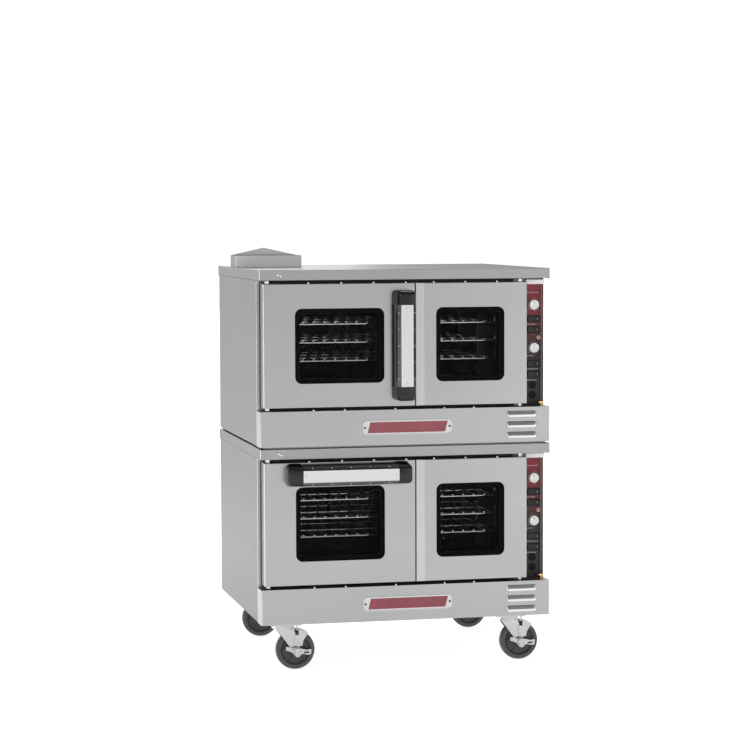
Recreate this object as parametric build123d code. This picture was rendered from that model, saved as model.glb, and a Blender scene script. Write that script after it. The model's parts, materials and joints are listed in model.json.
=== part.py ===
"""Double-deck, low-profile gas convection oven on swivel casters.

Millimetres, +Z up. The origin is on the floor, under the middle of the bounding box. +X is to the
operator's right and +Y is towards the back. The doors, front panels and cover fascias share one
front plane, and depths are counted back from that plane.
"""

from build123d import *
import os

# ---------------------------------------------------------------- overall sizes
HANDLE_REACH = 60.0          # how far the door handles stand out of the front plane
REAR_REACH = 60.0            # how far the gas inlet stands out behind the cover
COVER_DEPTH = 820.0
FRONT = -(HANDLE_REACH + COVER_DEPTH + REAR_REACH) / 2 + HANDLE_REACH   # y of the front plane

COVER_HALF_WIDTH = 482.5
BODY_HALF_WIDTH = 480.5
BODY_DEPTHS = (68.0, 810.0)
FRAME_FACE = 74.0            # depth of the face frame that the doors close against
SHEET = 1.5                  # casing sheet
PLATE = 3.0                  # plates that carry the hinge pins
BEND = 3.0                   # outside radius of a folded casing corner
FLANGE = 8.0                 # folded front edge of the left side panel
STACKING_RING = {"x": (-467.0, 467.0), "depths": (20.0, 800.0), "bar": 40.0}

# ---------------------------------------------------------------- heights
CASTER_HEIGHT = 150.0
DECK_HEIGHT = 568.0
STACKING_GAP = 6.0
DECK_BASES = {
    "lower": CASTER_HEIGHT,
    "upper": CASTER_HEIGHT + DECK_HEIGHT + STACKING_GAP,
}
PANEL_HEIGHT = 114.5         # front panel under the doors
FASCIA_HEIGHT = 32.5
ZONE_TOP = DECK_HEIGHT - FASCIA_HEIGHT
BODY_TOP = DECK_HEIGHT - SHEET

# ---------------------------------------------------------------- doors
DOOR_HEIGHTS = (125.5, 524.0)
DOOR_BACK = 58.0
DOOR_SHEET = 2.0
DOOR_BEND = 2.5
LINER_SHEET = 2.0
DOOR_SPANS = {"left": (-470.0, 28.0), "right": (31.0, 404.0)}
WINDOW_SPANS = {"left": (-367.5, -74.5), "right": (98.0, 327.5)}
WINDOW_HEIGHTS = (203.4, 444.0)
WINDOW_RADIUS = 22.0
WINDOW_STEP = 15.0           # how much smaller the liner's window is, on each side
BEVEL_WIDTH = 28.0           # bevelled strip beside the seam on the right door
BEVEL_DROP = 1.2
GLASS = 4.0
GLASS_LAP = 8.0              # how far the outer pane reaches behind the skin
INNER_PANE_DEPTH = 50.0
TUNNEL_FRONT = GLASS + 4     # depth where the liner's window tunnel starts

# ---------------------------------------------------------------- hinge pins
HINGE_X = {"left": -453.0, "right": 387.0}
HINGE_DEPTH = 30.0
PIN_RADIUS = 5.0
RUNNING = 0.05               # radial clearance of a shaft in its hole
PIN_IN_DOOR = 24.5
COLLAR_RADIUS = 8.0
HINGE_TUBE_RADIUS = 9.0      # tube inside the door that turns on the pins
FACE_GAP = 0.3               # clearance between faces that slide past each other

# ---------------------------------------------------------------- handles
BASE_HALF_WIDTH = 38.0       # half width of an end cap at the door
SHOULDER_HALF_WIDTH = 31.0
SHOULDER_DEPTH = -45.0       # the sides slope in from here to the front of the grip
FACE_HALF_WIDTH = 19.0
FACE_PLATE = 3.0
CORE_BACK = -22.0            # the core leaves room for fingers behind it
CAP_LENGTH = 46.5
CAP_CORNER = 15.0            # rounding of an end cap, seen from the front
CAP_SLOPE = 12.0             # bevel between an end cap's front and its outer end
HANDLES = {
    # deck: (centre x, centre height in the deck, overall length, turn about Y)
    "upper": (-12.0, 323.0, 357.0, 0.0),
    "lower": (-196.5, 483.5, 408.0, 90.0),
}

# ---------------------------------------------------------------- oven cavity
CAVITY_X = (-405.0, 330.0)
CAVITY_Z = (150.0, 510.0)
CAVITY_BACK = 690.0
BAFFLE_DEPTH = 612.0
BAFFLE_MARGIN = 30.0
FAN_X = (CAVITY_X[0] + CAVITY_X[1]) / 2
FAN_Z = (CAVITY_Z[0] + CAVITY_Z[1]) / 2
FAN_RADIUS = 120.0
FAN_DEPTHS = (622.0, 680.0)
FAN_RING_BORE = 97.0
FAN_DISC = 3.0
INTAKE_RADIUS = 95.0
BLADE_COUNT = 24
BLADE_CENTRE = 108.0         # distance of a blade's middle from the shaft
BLADE_WIDTH = 20.0
BLADE_SHEET = 2.0
HUB_RADIUS = 20.0
HUB_LENGTH = 30.0
SHAFT_RADIUS = 6.0
MOTOR_RADIUS = 65.0
MOTOR_EDGE = 6.0
MOTOR_DEPTHS = (746.0, 800.0)
WOOL = 48.0                  # thickness of the insulation

# ---------------------------------------------------------------- racks
RACK_HEIGHTS = {"bottom": 270.0, "middle": 330.0, "top": 390.0}
SPARE_RACK_HEIGHTS = (210.0, 450.0)
RACK_X = (-398.0, 323.0)
RACK_DEPTHS = (95.0, 600.0)
RACK_FRAME_RADIUS = 3.5
RACK_WIRE_RADIUS = 2.0
RACK_WIRE_PITCH = 35.8
RACK_CROSS_DEPTHS = (263.0, 432.0)
GUIDE_SHELF = 11.0
GUIDE_SHEET = 2.0
GUIDE_POST_DEPTHS = (110.0, 345.0, 580.0)
GUIDE_POST_WIDTH = 20.0
GUIDE_POST_HEIGHTS = (190.0, 470.0)
GUIDE_SHELF_DEPTHS = (100.0, 590.0)

# ---------------------------------------------------------------- controls
PANEL_X = (408.0, 478.5)
PANEL_FACE = 84.0            # depth of the control panel's face
CONTROL_X = 449.5            # centre line of knobs and switches
KNOB_RADIUS = 17.0
KNOB_REACH = 18.0
KNOB_SHAFT_RADIUS = 4.0
KNOB_HEIGHTS = {"thermostat": 446.0, "timer": 304.0}
SWITCH_HEIGHTS = {"power": 399.0, "fan": 363.0, "cook_cool": 251.0, "light": 215.0}
ROCKER_HALF_WIDTH = 19.0
ROCKER_HEIGHT = 17.5
ROCKER_PROUD = 5.0           # how far the rocker's ends stand out of the panel
ROCKER_HOLLOW = 2.5          # how much less its middle stands out
ROCKER_TAPER = 4.0
ROCKER_TAIL = 10.0           # how far it reaches behind the panel's face
SWITCH_CUTOUT = (43.0, 20.0)
CONTROL_PLATE = 2.0
LIGHT_BRACKET = {"x": (416.0, 478.5), "depths": (52.0, 84.0), "heights": (515.0, 530.0)}

# ---------------------------------------------------------------- front panel louvres
LOUVRE_X = (339.0, 432.0)
LOUVRE_TOPS = (101.0, 66.5, 32.5)
LOUVRE_HEIGHT = 18.0
LOUVRE_REACH = 4.0
LOUVRE_SHEET = 1.2

# ---------------------------------------------------------------- flue
FLUE_X = (-479.0, -253.0)
FLUE_DEPTHS = (470.0, 575.0)
FLUE_HEIGHT = 40.0
FLUE_PEAK = 25.0

# ---------------------------------------------------------------- gas line
PIPE_RADIUS = 13.335         # 3/4 inch nominal pipe
BRANCH_RADIUS = 10.65        # 1/2 inch nominal pipe
PIPE_X = 380.0
PIPE_HOLE = 11.5             # radius of the hole in the back panel
COLLAR_END = 852.0           # depth where the inlet's collar ends and its free pipe starts
INLET_COLLAR_RADIUS = 18.0
PIPE_HEIGHT = 60.0
RISER_DEPTH = 838.0
RISER_ENDS = (30.0, 20.0)    # how far the riser runs past its lower and upper branch
STUB_START = 700.0
FEED_DEPTH = 720.0
BURNER_X = (-250.0, FAN_X, 175.0)
BURNER_DEPTHS = (120.0, 690.0)
BURNER_RADIUS = 20.0
ORIFICE_RADIUS = 8.0

# ---------------------------------------------------------------- casters
WHEEL_RADIUS = 63.5
WHEEL_WIDTH = 32.0
WHEEL_TRAIL = 34.0
CASTER_X = {"left": -400.0, "right": 352.0}
CASTER_DEPTHS = {"front": 40.0, "rear": 680.0}
MOUNT_PLATE = (100.0, 76.0, 4.0)
MOUNT_BOLTS = (40.0, 28.0)   # offsets of the four bolt heads from the plate's middle
BOLT_HEAD = (6.0, 5.0)       # radius and height
FORK_SHEET = 4.0
FORK_GAP = 1.5               # between a wheel's side and the fork leg
FORK_HALF = WHEEL_WIDTH / 2 + FORK_GAP + FORK_SHEET
RACEWAY_RADIUS = 33.0
CROWN_HEIGHTS = (131.0, 139.0)   # the fork's crown, under the raceway disc
CROWN_RADIUS = 30.0
KINGPIN_RADIUS = 6.0
KINGPIN_DEPTH = 12.0
AXLE_RADIUS = 6.0
AXLE_NUT = (9.0, 6.0)        # radius and thickness
BRAKE_ARM = 3.0
SHOE_GAP = 2.0
SHOE_SHEET = 3.0
SHOE_WIDTH = 33.0
LEVER_SHEET = 6.0
LEVER_BOSS = (13.0, 8.0)     # radius and length


# ================================================================ shape helpers
def block(xs, depths, zs):
    """Box between two x values, two depths behind the front plane and two heights."""
    centre = Pos((xs[0] + xs[1]) / 2, FRONT + (depths[0] + depths[1]) / 2, (zs[0] + zs[1]) / 2)
    return centre * Box(xs[1] - xs[0], depths[1] - depths[0], zs[1] - zs[0])


def rod_x(xs, depth, z, radius):
    """Round bar along X."""
    bar = Rot(0, 90, 0) * Cylinder(radius, xs[1] - xs[0])
    return Pos((xs[0] + xs[1]) / 2, FRONT + depth, z) * bar


def rod_y(x, depths, z, radius):
    """Round bar along Y, between two depths."""
    bar = Rot(90, 0, 0) * Cylinder(radius, depths[1] - depths[0])
    return Pos(x, FRONT + (depths[0] + depths[1]) / 2, z) * bar


def rod_z(x, depth, zs, radius):
    """Round bar along Z."""
    return Pos(x, FRONT + depth, (zs[0] + zs[1]) / 2) * Cylinder(radius, zs[1] - zs[0])


def plate_xz(outline, depths):
    """Flat plate whose outline is a closed face drawn in x and z."""
    slab = extrude(Plane.XZ * outline, amount=depths[1] - depths[0])
    return Pos(0, FRONT + depths[1], 0) * slab


def polygon(points):
    """Closed face through a few corner points."""
    return make_face(Polyline(*points, close=True))


def window_block(xs, depths, zs, radius):
    """Block with its four corners rounded, as seen from the front."""
    solid = block(xs, depths, zs)
    return fillet(solid.edges().filter_by(Axis.Y), radius)


def grown(span, amount):
    """Span made longer at both ends."""
    return (span[0] - amount, span[1] + amount)


def raised(span, base):
    """Heights given in the deck, turned into heights above the floor."""
    return (span[0] + base, span[1] + base)


def save(node, *solids):
    """Write one sub-part. Pieces that touch stay separate solids."""
    shape = solids[0] if len(solids) == 1 else Compound(children=list(solids))
    export_step(shape, f"parts/{node}.step")


# ================================================================ casing
def cabinet_shell(base):
    """Side panels, back panel, base panel and the four rails of the face frame."""
    heights = raised((0, BODY_TOP), base)
    inner = BODY_HALF_WIDTH - SHEET
    above_floor = raised((SHEET, BODY_TOP), base)
    left = block((-BODY_HALF_WIDTH, -inner), BODY_DEPTHS, heights)
    left += block(
        (-BODY_HALF_WIDTH, -BODY_HALF_WIDTH + FLANGE), (BODY_DEPTHS[0], BODY_DEPTHS[0] + SHEET), above_floor
    )
    right = block((inner, BODY_HALF_WIDTH), BODY_DEPTHS, heights)
    back = block((-inner, inner), (BODY_DEPTHS[1] - SHEET, BODY_DEPTHS[1]), above_floor)
    hole = (BODY_DEPTHS[1] - 2 * SHEET, BODY_DEPTHS[1] + SHEET)
    back -= rod_y(PIPE_X, hole, base + PIPE_HEIGHT, PIPE_HOLE)
    floor = block((-inner, inner), (SHEET, BODY_DEPTHS[1] - SHEET), raised((0, SHEET), base))
    return [left, right, back, floor] + face_frame(base)


def face_frame(base):
    """Stiles and rails round the oven's mouth, set back behind the doors."""
    depths = (FRAME_FACE, FRAME_FACE + LINER_SHEET)
    rails_z = raised((PANEL_HEIGHT - PLATE, BODY_TOP), base)
    mouth_z = raised(CAVITY_Z, base)
    left_edge = -BODY_HALF_WIDTH + SHEET
    return [
        block((left_edge, CAVITY_X[0]), depths, rails_z),
        block((CAVITY_X[1], PANEL_X[0]), depths, rails_z),
        block(CAVITY_X, depths, (mouth_z[1], rails_z[1])),
        block(CAVITY_X, depths, (rails_z[0], mouth_z[0])),
    ]


def stacking_frame(base):
    """Flat spacer ring that holds the upper deck off the lower deck's cover."""
    zs = (base - STACKING_GAP, base)
    xs, depths, bar = STACKING_RING.values()
    sides = (depths[0] + bar, depths[1] - bar)
    return [
        block(xs, (depths[0], sides[0]), zs),
        block(xs, (sides[1], depths[1]), zs),
        block((xs[0], xs[0] + bar), sides, zs),
        block((xs[1] - bar, xs[1]), sides, zs),
    ]


def hinge_shelf(zs):
    """Plate behind the fascia or front panel that the hinge pins stand in."""
    inner = COVER_HALF_WIDTH - SHEET
    shelf = block((-inner, inner), (SHEET, BODY_DEPTHS[0]), zs)
    shelf += block((-BODY_HALF_WIDTH + FLANGE + 1, PANEL_X[1]), (BODY_DEPTHS[0] - 1, FRAME_FACE), zs)
    for x in HINGE_X.values():
        shelf -= rod_z(x, HINGE_DEPTH, grown(zs, 1), PIN_RADIUS + RUNNING)
    return shelf


def top_cover(base):
    """Lid with a folded edge all round, and a closed underside in front of the body."""
    zs = raised((ZONE_TOP, DECK_HEIGHT), base)
    lid = block((-COVER_HALF_WIDTH, COVER_HALF_WIDTH), (0, COVER_DEPTH), zs)
    lid = fillet(lid.edges().filter_by(Axis.Z), BEND)
    lid = fillet(lid.faces().sort_by(Axis.Z)[-1].edges(), SHEET)
    inner = COVER_HALF_WIDTH - SHEET
    lid -= block((-inner, inner), (SHEET, COVER_DEPTH - SHEET), (zs[0] - 1, zs[1] - SHEET))
    return lid + hinge_shelf((zs[0], zs[0] + PLATE))


def louvre_outline(reach, top, bottom):
    """Side outline of a louvre hood in depth and height: it swells out and turns back down."""
    swell = Spline((0, top), (-reach, (top + 2 * bottom) / 3), (-reach * 0.9, bottom))
    back = Polyline((-reach * 0.9, bottom), (0, bottom), (0, top))
    return make_face(swell + back)


def louvre_hood(base, top):
    """Hollow pressed hood over one air slot."""
    zs = (base + top - LOUVRE_HEIGHT, base + top)
    length = LOUVRE_X[1] - LOUVRE_X[0]
    outer = extrude(Plane.YZ * louvre_outline(LOUVRE_REACH, zs[1], zs[0]), amount=length)
    hollow = louvre_outline(LOUVRE_REACH - LOUVRE_SHEET, zs[1] - 3, zs[0] - 1)
    core = extrude(Plane.YZ * hollow, amount=length - 4)
    return Pos(LOUVRE_X[0], FRONT, 0) * outer - Pos(LOUVRE_X[0] + 2, FRONT, 0) * core


def front_panel(base):
    """Box-shaped panel below the doors, with louvred air slots at its right end."""
    zs = raised((0, PANEL_HEIGHT), base)
    panel = block((-COVER_HALF_WIDTH, COVER_HALF_WIDTH), (0, BODY_DEPTHS[0]), zs)
    corners = panel.edges().filter_by(Axis.Z).sort_by(Axis.Y)[:2]
    panel = fillet(corners, BEND)
    inner = COVER_HALF_WIDTH - SHEET
    panel -= block((-inner, inner), (SHEET, BODY_DEPTHS[0] + 1), (zs[0] - 1, zs[1]))
    panel += hinge_shelf((zs[1] - PLATE, zs[1]))
    for top in LOUVRE_TOPS:
        slot_z = (base + top - LOUVRE_HEIGHT + 2, base + top - 6)
        panel -= block(grown(LOUVRE_X, -5), (-1, SHEET + 1), slot_z)
        panel += louvre_hood(base, top)
    return panel


def flue_box():
    """Open collar for the flue gases, with a peaked plate along its back."""
    top = DECK_BASES["upper"] + DECK_HEIGHT
    zs = (top, top + FLUE_HEIGHT)
    sides = (FLUE_DEPTHS[0] + SHEET, FLUE_DEPTHS[1] - SHEET)
    front = block(FLUE_X, (FLUE_DEPTHS[0], sides[0]), zs)
    left = block((FLUE_X[0], FLUE_X[0] + SHEET), sides, zs)
    right = block((FLUE_X[1] - SHEET, FLUE_X[1]), sides, zs)
    middle = (FLUE_X[0] + FLUE_X[1]) / 2
    peak = polygon([
        (FLUE_X[0], zs[0]),
        (FLUE_X[1], zs[0]),
        (FLUE_X[1], zs[1]),
        (middle, zs[1] + FLUE_PEAK),
        (FLUE_X[0], zs[1]),
    ])
    return [front, left, right, plate_xz(peak, (sides[1], FLUE_DEPTHS[1]))]


# ================================================================ doors
def door_skin(side, base):
    """Folded stainless pan with a rounded window opening and a hinge tube."""
    xs = DOOR_SPANS[side]
    zs = raised(DOOR_HEIGHTS, base)
    pan_back = DOOR_BACK - LINER_SHEET
    pan = block(xs, (0, pan_back), zs)
    pan = fillet(pan.faces().sort_by(Axis.Y)[0].edges(), DOOR_BEND)
    pan -= block(grown(xs, -DOOR_SHEET), (DOOR_SHEET, pan_back + 1), grown(zs, -DOOR_SHEET))
    window_z = raised(WINDOW_HEIGHTS, base)
    pan -= window_block(WINDOW_SPANS[side], (-1, DOOR_SHEET + 1), window_z, WINDOW_RADIUS)
    if side == "right":
        pan -= seam_bevel(xs[0], zs)
    pan += rod_z(HINGE_X[side], HINGE_DEPTH, zs, HINGE_TUBE_RADIUS)
    return pan - rod_z(HINGE_X[side], HINGE_DEPTH, grown(zs, 1), PIN_RADIUS + RUNNING)


def seam_bevel(x, zs):
    """Wedge that is taken off the front of the right door beside the seam."""
    outline = polygon([
        (x - 1, FRONT - 1),
        (x + BEVEL_WIDTH, FRONT - 1),
        (x + BEVEL_WIDTH, FRONT),
        (x - 1, FRONT + BEVEL_DROP),
    ])
    return Pos(0, 0, zs[0] - 1) * extrude(outline, amount=zs[1] - zs[0] + 2)


def door_liner(side, base):
    """Back plate of the door with a boxed tunnel that frames the window."""
    xs = DOOR_SPANS[side]
    zs = raised(DOOR_HEIGHTS, base)
    window_x = grown(WINDOW_SPANS[side], -WINDOW_STEP)
    window_z = grown(raised(WINDOW_HEIGHTS, base), -WINDOW_STEP)
    plate = block(xs, (DOOR_BACK - LINER_SHEET, DOOR_BACK), zs)
    tunnel = (TUNNEL_FRONT, DOOR_BACK)
    wall = window_block(grown(window_x, SHEET), tunnel, grown(window_z, SHEET), WINDOW_RADIUS - 10)
    lip = WINDOW_STEP + 10
    flange = window_block(
        grown(window_x, lip), (tunnel[0], tunnel[0] + SHEET), grown(window_z, lip), WINDOW_RADIUS
    )
    opening = window_block(window_x, (0, DOOR_BACK + 1), window_z, WINDOW_RADIUS - 12)
    return plate + wall + flange - opening


def door_glass(side, base):
    """Outer pane behind the skin, and inner pane in the tunnel."""
    outer_x = grown(WINDOW_SPANS[side], GLASS_LAP)
    outer_z = grown(raised(WINDOW_HEIGHTS, base), GLASS_LAP)
    inner_x = grown(WINDOW_SPANS[side], -WINDOW_STEP - FACE_GAP)
    inner_z = grown(raised(WINDOW_HEIGHTS, base), -WINDOW_STEP - FACE_GAP)
    outer_front = DOOR_SHEET + FACE_GAP
    outer_depths = (outer_front, outer_front + GLASS)
    inner_depths = (INNER_PANE_DEPTH, INNER_PANE_DEPTH + GLASS)
    return [
        window_block(outer_x, outer_depths, outer_z, WINDOW_RADIUS),
        window_block(inner_x, inner_depths, inner_z, WINDOW_RADIUS - 12),
    ]


def hinge_pins(base):
    """Fixed pins above and below both doors of a deck, each with a shoulder under the door's edge."""
    pins = []
    door_z = raised(DOOR_HEIGHTS, base)
    zone = raised((PANEL_HEIGHT, ZONE_TOP), base)
    for x in HINGE_X.values():
        lower = rod_z(x, HINGE_DEPTH, (zone[0] - PLATE, door_z[0] + PIN_IN_DOOR), PIN_RADIUS)
        lower += rod_z(x, HINGE_DEPTH, (zone[0], door_z[0] - FACE_GAP), COLLAR_RADIUS)
        upper = rod_z(x, HINGE_DEPTH, (door_z[1] - PIN_IN_DOOR, zone[1] + PLATE), PIN_RADIUS)
        upper += rod_z(x, HINGE_DEPTH, (door_z[1] + FACE_GAP, zone[1]), COLLAR_RADIUS)
        pins += [lower, upper]
    return pins


# ================================================================ handles
def handle_place(deck):
    """Place of a deck's handle: its own frame has the length along Z and the door at y = 0."""
    x, z, _, turn = HANDLES[deck]
    return Pos(x, FRONT, DECK_BASES[deck] + z) * Rot(0, turn, 0)


def grip_section(front, back):
    """Cross-section of the grip. Its sides widen a little towards the door."""
    flare = (BASE_HALF_WIDTH - SHOULDER_HALF_WIDTH) / SHOULDER_DEPTH
    back_half_width = BASE_HALF_WIDTH - flare * back
    return polygon([
        (-back_half_width, back),
        (-SHOULDER_HALF_WIDTH, SHOULDER_DEPTH),
        (-FACE_HALF_WIDTH, front),
        (FACE_HALF_WIDTH, front),
        (SHOULDER_HALF_WIDTH, SHOULDER_DEPTH),
        (back_half_width, back),
    ])


def handle_cap(length):
    """Upper end cap, reaching from the door to the front of the handle. It is rounded at its outer end."""
    inner, outer = length / 2 - CAP_LENGTH, length / 2
    body = Pos(0, 0, inner) * extrude(grip_section(-HANDLE_REACH, 0), amount=CAP_LENGTH)
    seen_from_front = polygon([
        (-BASE_HALF_WIDTH, inner),
        (BASE_HALF_WIDTH, inner),
        (BASE_HALF_WIDTH, outer),
        (-BASE_HALF_WIDTH, outer),
    ])
    seen_from_front = fillet(seen_from_front.vertices().sort_by(Axis.Y)[-2:], CAP_CORNER)
    seen_from_side = polygon([
        (-HANDLE_REACH, inner),
        (0, inner),
        (0, outer),
        (CAP_SLOPE - HANDLE_REACH, outer),
        (-HANDLE_REACH, outer - CAP_SLOPE),
    ])
    body &= extrude(Plane.XZ * seen_from_front, amount=HANDLE_REACH)
    return body & extrude(Plane.YZ * seen_from_side, amount=BASE_HALF_WIDTH, both=True)


def handle_grip(deck):
    """Black moulded grip: two end caps and the core between them."""
    length = HANDLES[deck][2]
    half_core = length / 2 - CAP_LENGTH
    core = extrude(grip_section(FACE_PLATE - HANDLE_REACH, CORE_BACK), amount=2 * half_core)
    core = Pos(0, 0, -half_core) * core
    place = handle_place(deck)
    cap = handle_cap(length)
    return [place * cap, place * Rot(0, 180, 0) * cap, place * core]


def handle_face_plate(deck):
    """Steel strip on the front of the grip."""
    length = HANDLES[deck][2] - 2 * CAP_LENGTH
    middle = FACE_PLATE / 2 - HANDLE_REACH
    plate = Pos(0, middle, 0) * Box(2 * FACE_HALF_WIDTH, FACE_PLATE, length)
    return handle_place(deck) * plate


# ================================================================ inside the oven
def cavity_liner(base):
    """Welded plates of the baking chamber, and the fan baffle that stands in front of the blower."""
    wall = LINER_SHEET
    mouth = FRAME_FACE + LINER_SHEET
    zs = raised(CAVITY_Z, base)
    depths = (mouth, CAVITY_BACK)
    wide = grown(CAVITY_X, wall)
    back = block(wide, (CAVITY_BACK, CAVITY_BACK + wall), grown(zs, wall))
    back -= rod_y(FAN_X, (CAVITY_BACK - 1, CAVITY_BACK + wall + 1), base + FAN_Z, SHAFT_RADIUS + 2)
    baffle_x = grown(CAVITY_X, -BAFFLE_MARGIN)
    baffle = block(baffle_x, (BAFFLE_DEPTH, BAFFLE_DEPTH + wall), zs)
    baffle -= rod_y(FAN_X, (BAFFLE_DEPTH - 1, BAFFLE_DEPTH + wall + 1), base + FAN_Z, INTAKE_RADIUS)
    return [
        block((CAVITY_X[0] - wall, CAVITY_X[0]), depths, zs),
        block((CAVITY_X[1], CAVITY_X[1] + wall), depths, zs),
        block(wide, depths, (zs[1], zs[1] + wall)),
        block(wide, depths, (zs[0] - wall, zs[0])),
        back,
        baffle,
    ]


def insulation(base):
    """Mineral wool slabs round the baking chamber."""
    wall = LINER_SHEET
    zs = grown(raised(CAVITY_Z, base), wall)
    front = FRAME_FACE + LINER_SHEET
    left = (-BODY_HALF_WIDTH + SHEET, CAVITY_X[0] - wall)
    right = (CAVITY_X[1] + wall, CAVITY_X[1] + wall + WOOL)
    across = (left[0], right[1])
    back_depths = (CAVITY_BACK + wall, CAVITY_BACK + wall + WOOL)
    back = block(across, back_depths, grown(zs, BAFFLE_MARGIN))
    back -= rod_y(FAN_X, grown(back_depths, 1), base + FAN_Z, 2 * SHAFT_RADIUS)
    return [
        block(left, (front, CAVITY_BACK + wall), zs),
        block(right, (front, CAVITY_BACK + wall), zs),
        block(across, (front, CAVITY_BACK + wall), (zs[1], zs[1] + WOOL)),
        back,
    ]


def rack_guide(side, base):
    """One side's rack support: five angle shelves welded to three posts."""
    wall_x = CAVITY_X[0] if side == "left" else CAVITY_X[1]
    inward = 1 if side == "left" else -1
    back_x = wall_x + inward * GUIDE_SHEET
    post_x = sorted((back_x, back_x + inward * GUIDE_SHEET))
    shelf_x = sorted((back_x, back_x + inward * GUIDE_SHELF))
    guide = Part()
    for depth in GUIDE_POST_DEPTHS:
        post_depths = grown((depth, depth), GUIDE_POST_WIDTH / 2)
        guide += block(post_x, post_depths, raised(GUIDE_POST_HEIGHTS, base))
    for height in sorted(SPARE_RACK_HEIGHTS + tuple(RACK_HEIGHTS.values())):
        top = base + height - RACK_FRAME_RADIUS - FACE_GAP
        guide += block(shelf_x, GUIDE_SHELF_DEPTHS, (top - GUIDE_SHEET, top))
    return guide


def rack(base, height):
    """Welded wire shelf: a rectangular frame, cross rails, and wires that run front to back."""
    z = base + height
    xs = grown(RACK_X, -RACK_FRAME_RADIUS)
    depths = grown(RACK_DEPTHS, -RACK_FRAME_RADIUS)
    frame = rod_y(xs[0], depths, z, RACK_FRAME_RADIUS) + rod_y(xs[1], depths, z, RACK_FRAME_RADIUS)
    for depth in (depths[0], *RACK_CROSS_DEPTHS, depths[1]):
        frame += rod_x(xs, depth, z, RACK_FRAME_RADIUS)
    for x in xs:
        for depth in depths:
            frame += Pos(x, FRONT + depth, z) * Sphere(RACK_FRAME_RADIUS)
    count = int((xs[1] - xs[0]) / RACK_WIRE_PITCH)
    first = (xs[0] + xs[1] - (count - 1) * RACK_WIRE_PITCH) / 2
    wire_z = z + RACK_FRAME_RADIUS + RACK_WIRE_RADIUS - 0.8
    wires = [
        rod_y(first + i * RACK_WIRE_PITCH, RACK_DEPTHS, wire_z, RACK_WIRE_RADIUS) for i in range(count)
    ]
    return frame + wires


def blower_wheel(base):
    """Centrifugal blower wheel with its shaft: back disc, blades, front ring and hub."""
    z = base + FAN_Z
    front, back = FAN_DEPTHS
    wheel = rod_y(FAN_X, (back - FAN_DISC, back), z, FAN_RADIUS)
    ring_depths = (front, front + FAN_DISC)
    ring = rod_y(FAN_X, ring_depths, z, FAN_RADIUS)
    wheel += ring - rod_y(FAN_X, grown(ring_depths, 1), z, FAN_RING_BORE)
    blade = Pos(BLADE_CENTRE, 0, 0) * Box(BLADE_WIDTH, back - front - 2, BLADE_SHEET)
    place = Pos(FAN_X, FRONT + (front + back) / 2, z)
    wheel += [place * Rot(0, i * 360 / BLADE_COUNT, 0) * blade for i in range(BLADE_COUNT)]
    wheel += rod_y(FAN_X, (back - HUB_LENGTH, back), z, HUB_RADIUS)
    return wheel + rod_y(FAN_X, (back - HUB_LENGTH - 5, MOTOR_DEPTHS[1] - 10), z, SHAFT_RADIUS)


def fan_motor(base):
    """Motor housing with a blind bore for the blower's shaft."""
    z = base + FAN_Z
    body = rod_y(FAN_X, MOTOR_DEPTHS, z, MOTOR_RADIUS)
    body = fillet(body.edges(), MOTOR_EDGE)
    bore = rod_y(FAN_X, (MOTOR_DEPTHS[0] - 1, MOTOR_DEPTHS[1] - 9), z, SHAFT_RADIUS + RUNNING)
    return body - bore


def burners(base):
    """Three straight tube burners under the chamber, and the feed pipe with its orifices behind them."""
    z = base + PIPE_HEIGHT
    feed = rod_x((BURNER_X[0] - BURNER_RADIUS, PIPE_X - BRANCH_RADIUS - 1), FEED_DEPTH, z, BRANCH_RADIUS)
    tubes = []
    for x in BURNER_X:
        feed += rod_y(x, (BURNER_DEPTHS[1], FEED_DEPTH), z, ORIFICE_RADIUS)
        tubes.append(rod_y(x, BURNER_DEPTHS, z, BURNER_RADIUS))
    return [feed] + tubes


def gas_manifold():
    """Pipe riser behind the oven that feeds both decks, with the inlet stub at its foot."""
    z_low = DECK_BASES["lower"] + PIPE_HEIGHT
    z_high = DECK_BASES["upper"] + PIPE_HEIGHT
    riser = rod_z(PIPE_X, RISER_DEPTH, (z_low - RISER_ENDS[0], z_high + RISER_ENDS[1]), PIPE_RADIUS)
    inlet = rod_y(PIPE_X, (RISER_DEPTH, COLLAR_END), z_low, INLET_COLLAR_RADIUS) - riser
    inlet += rod_y(PIPE_X, (COLLAR_END, COVER_DEPTH + REAR_REACH), z_low, PIPE_RADIUS)
    stubs = [rod_y(PIPE_X, (STUB_START, RISER_DEPTH), z, BRANCH_RADIUS) - riser for z in (z_low, z_high)]
    return [riser, inlet] + stubs


# ================================================================ controls
def control_panel(base):
    """Recessed plate for knobs and switches, with a light top bracket and a bottom return."""
    depths = (PANEL_FACE, PANEL_FACE + CONTROL_PLATE)
    through = grown(depths, 1)
    zs = raised((PANEL_HEIGHT - CONTROL_PLATE, BODY_TOP), base)
    plate = block(PANEL_X, depths, zs)
    plate += block(PANEL_X, (FRAME_FACE, depths[1]), (zs[0], zs[0] + CONTROL_PLATE))
    plate += block((PANEL_X[0], PANEL_X[0] + SHEET), (FRAME_FACE, depths[1]), zs)
    for height in KNOB_HEIGHTS.values():
        plate -= rod_y(CONTROL_X, through, base + height, KNOB_SHAFT_RADIUS + FACE_GAP)
    half_width, half_height = SWITCH_CUTOUT[0] / 2, SWITCH_CUTOUT[1] / 2
    for height in SWITCH_HEIGHTS.values():
        cut_z = grown((base + height, base + height), half_height)
        plate -= block(grown((CONTROL_X, CONTROL_X), half_width), through, cut_z)
    bracket_x, bracket_depths, bracket_heights = LIGHT_BRACKET.values()
    bracket = block(bracket_x, bracket_depths, raised(bracket_heights, base))
    bracket = fillet(bracket.edges().filter_by(Axis.X).sort_by(Axis.Y)[:2], 2)
    return [plate, bracket]


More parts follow.
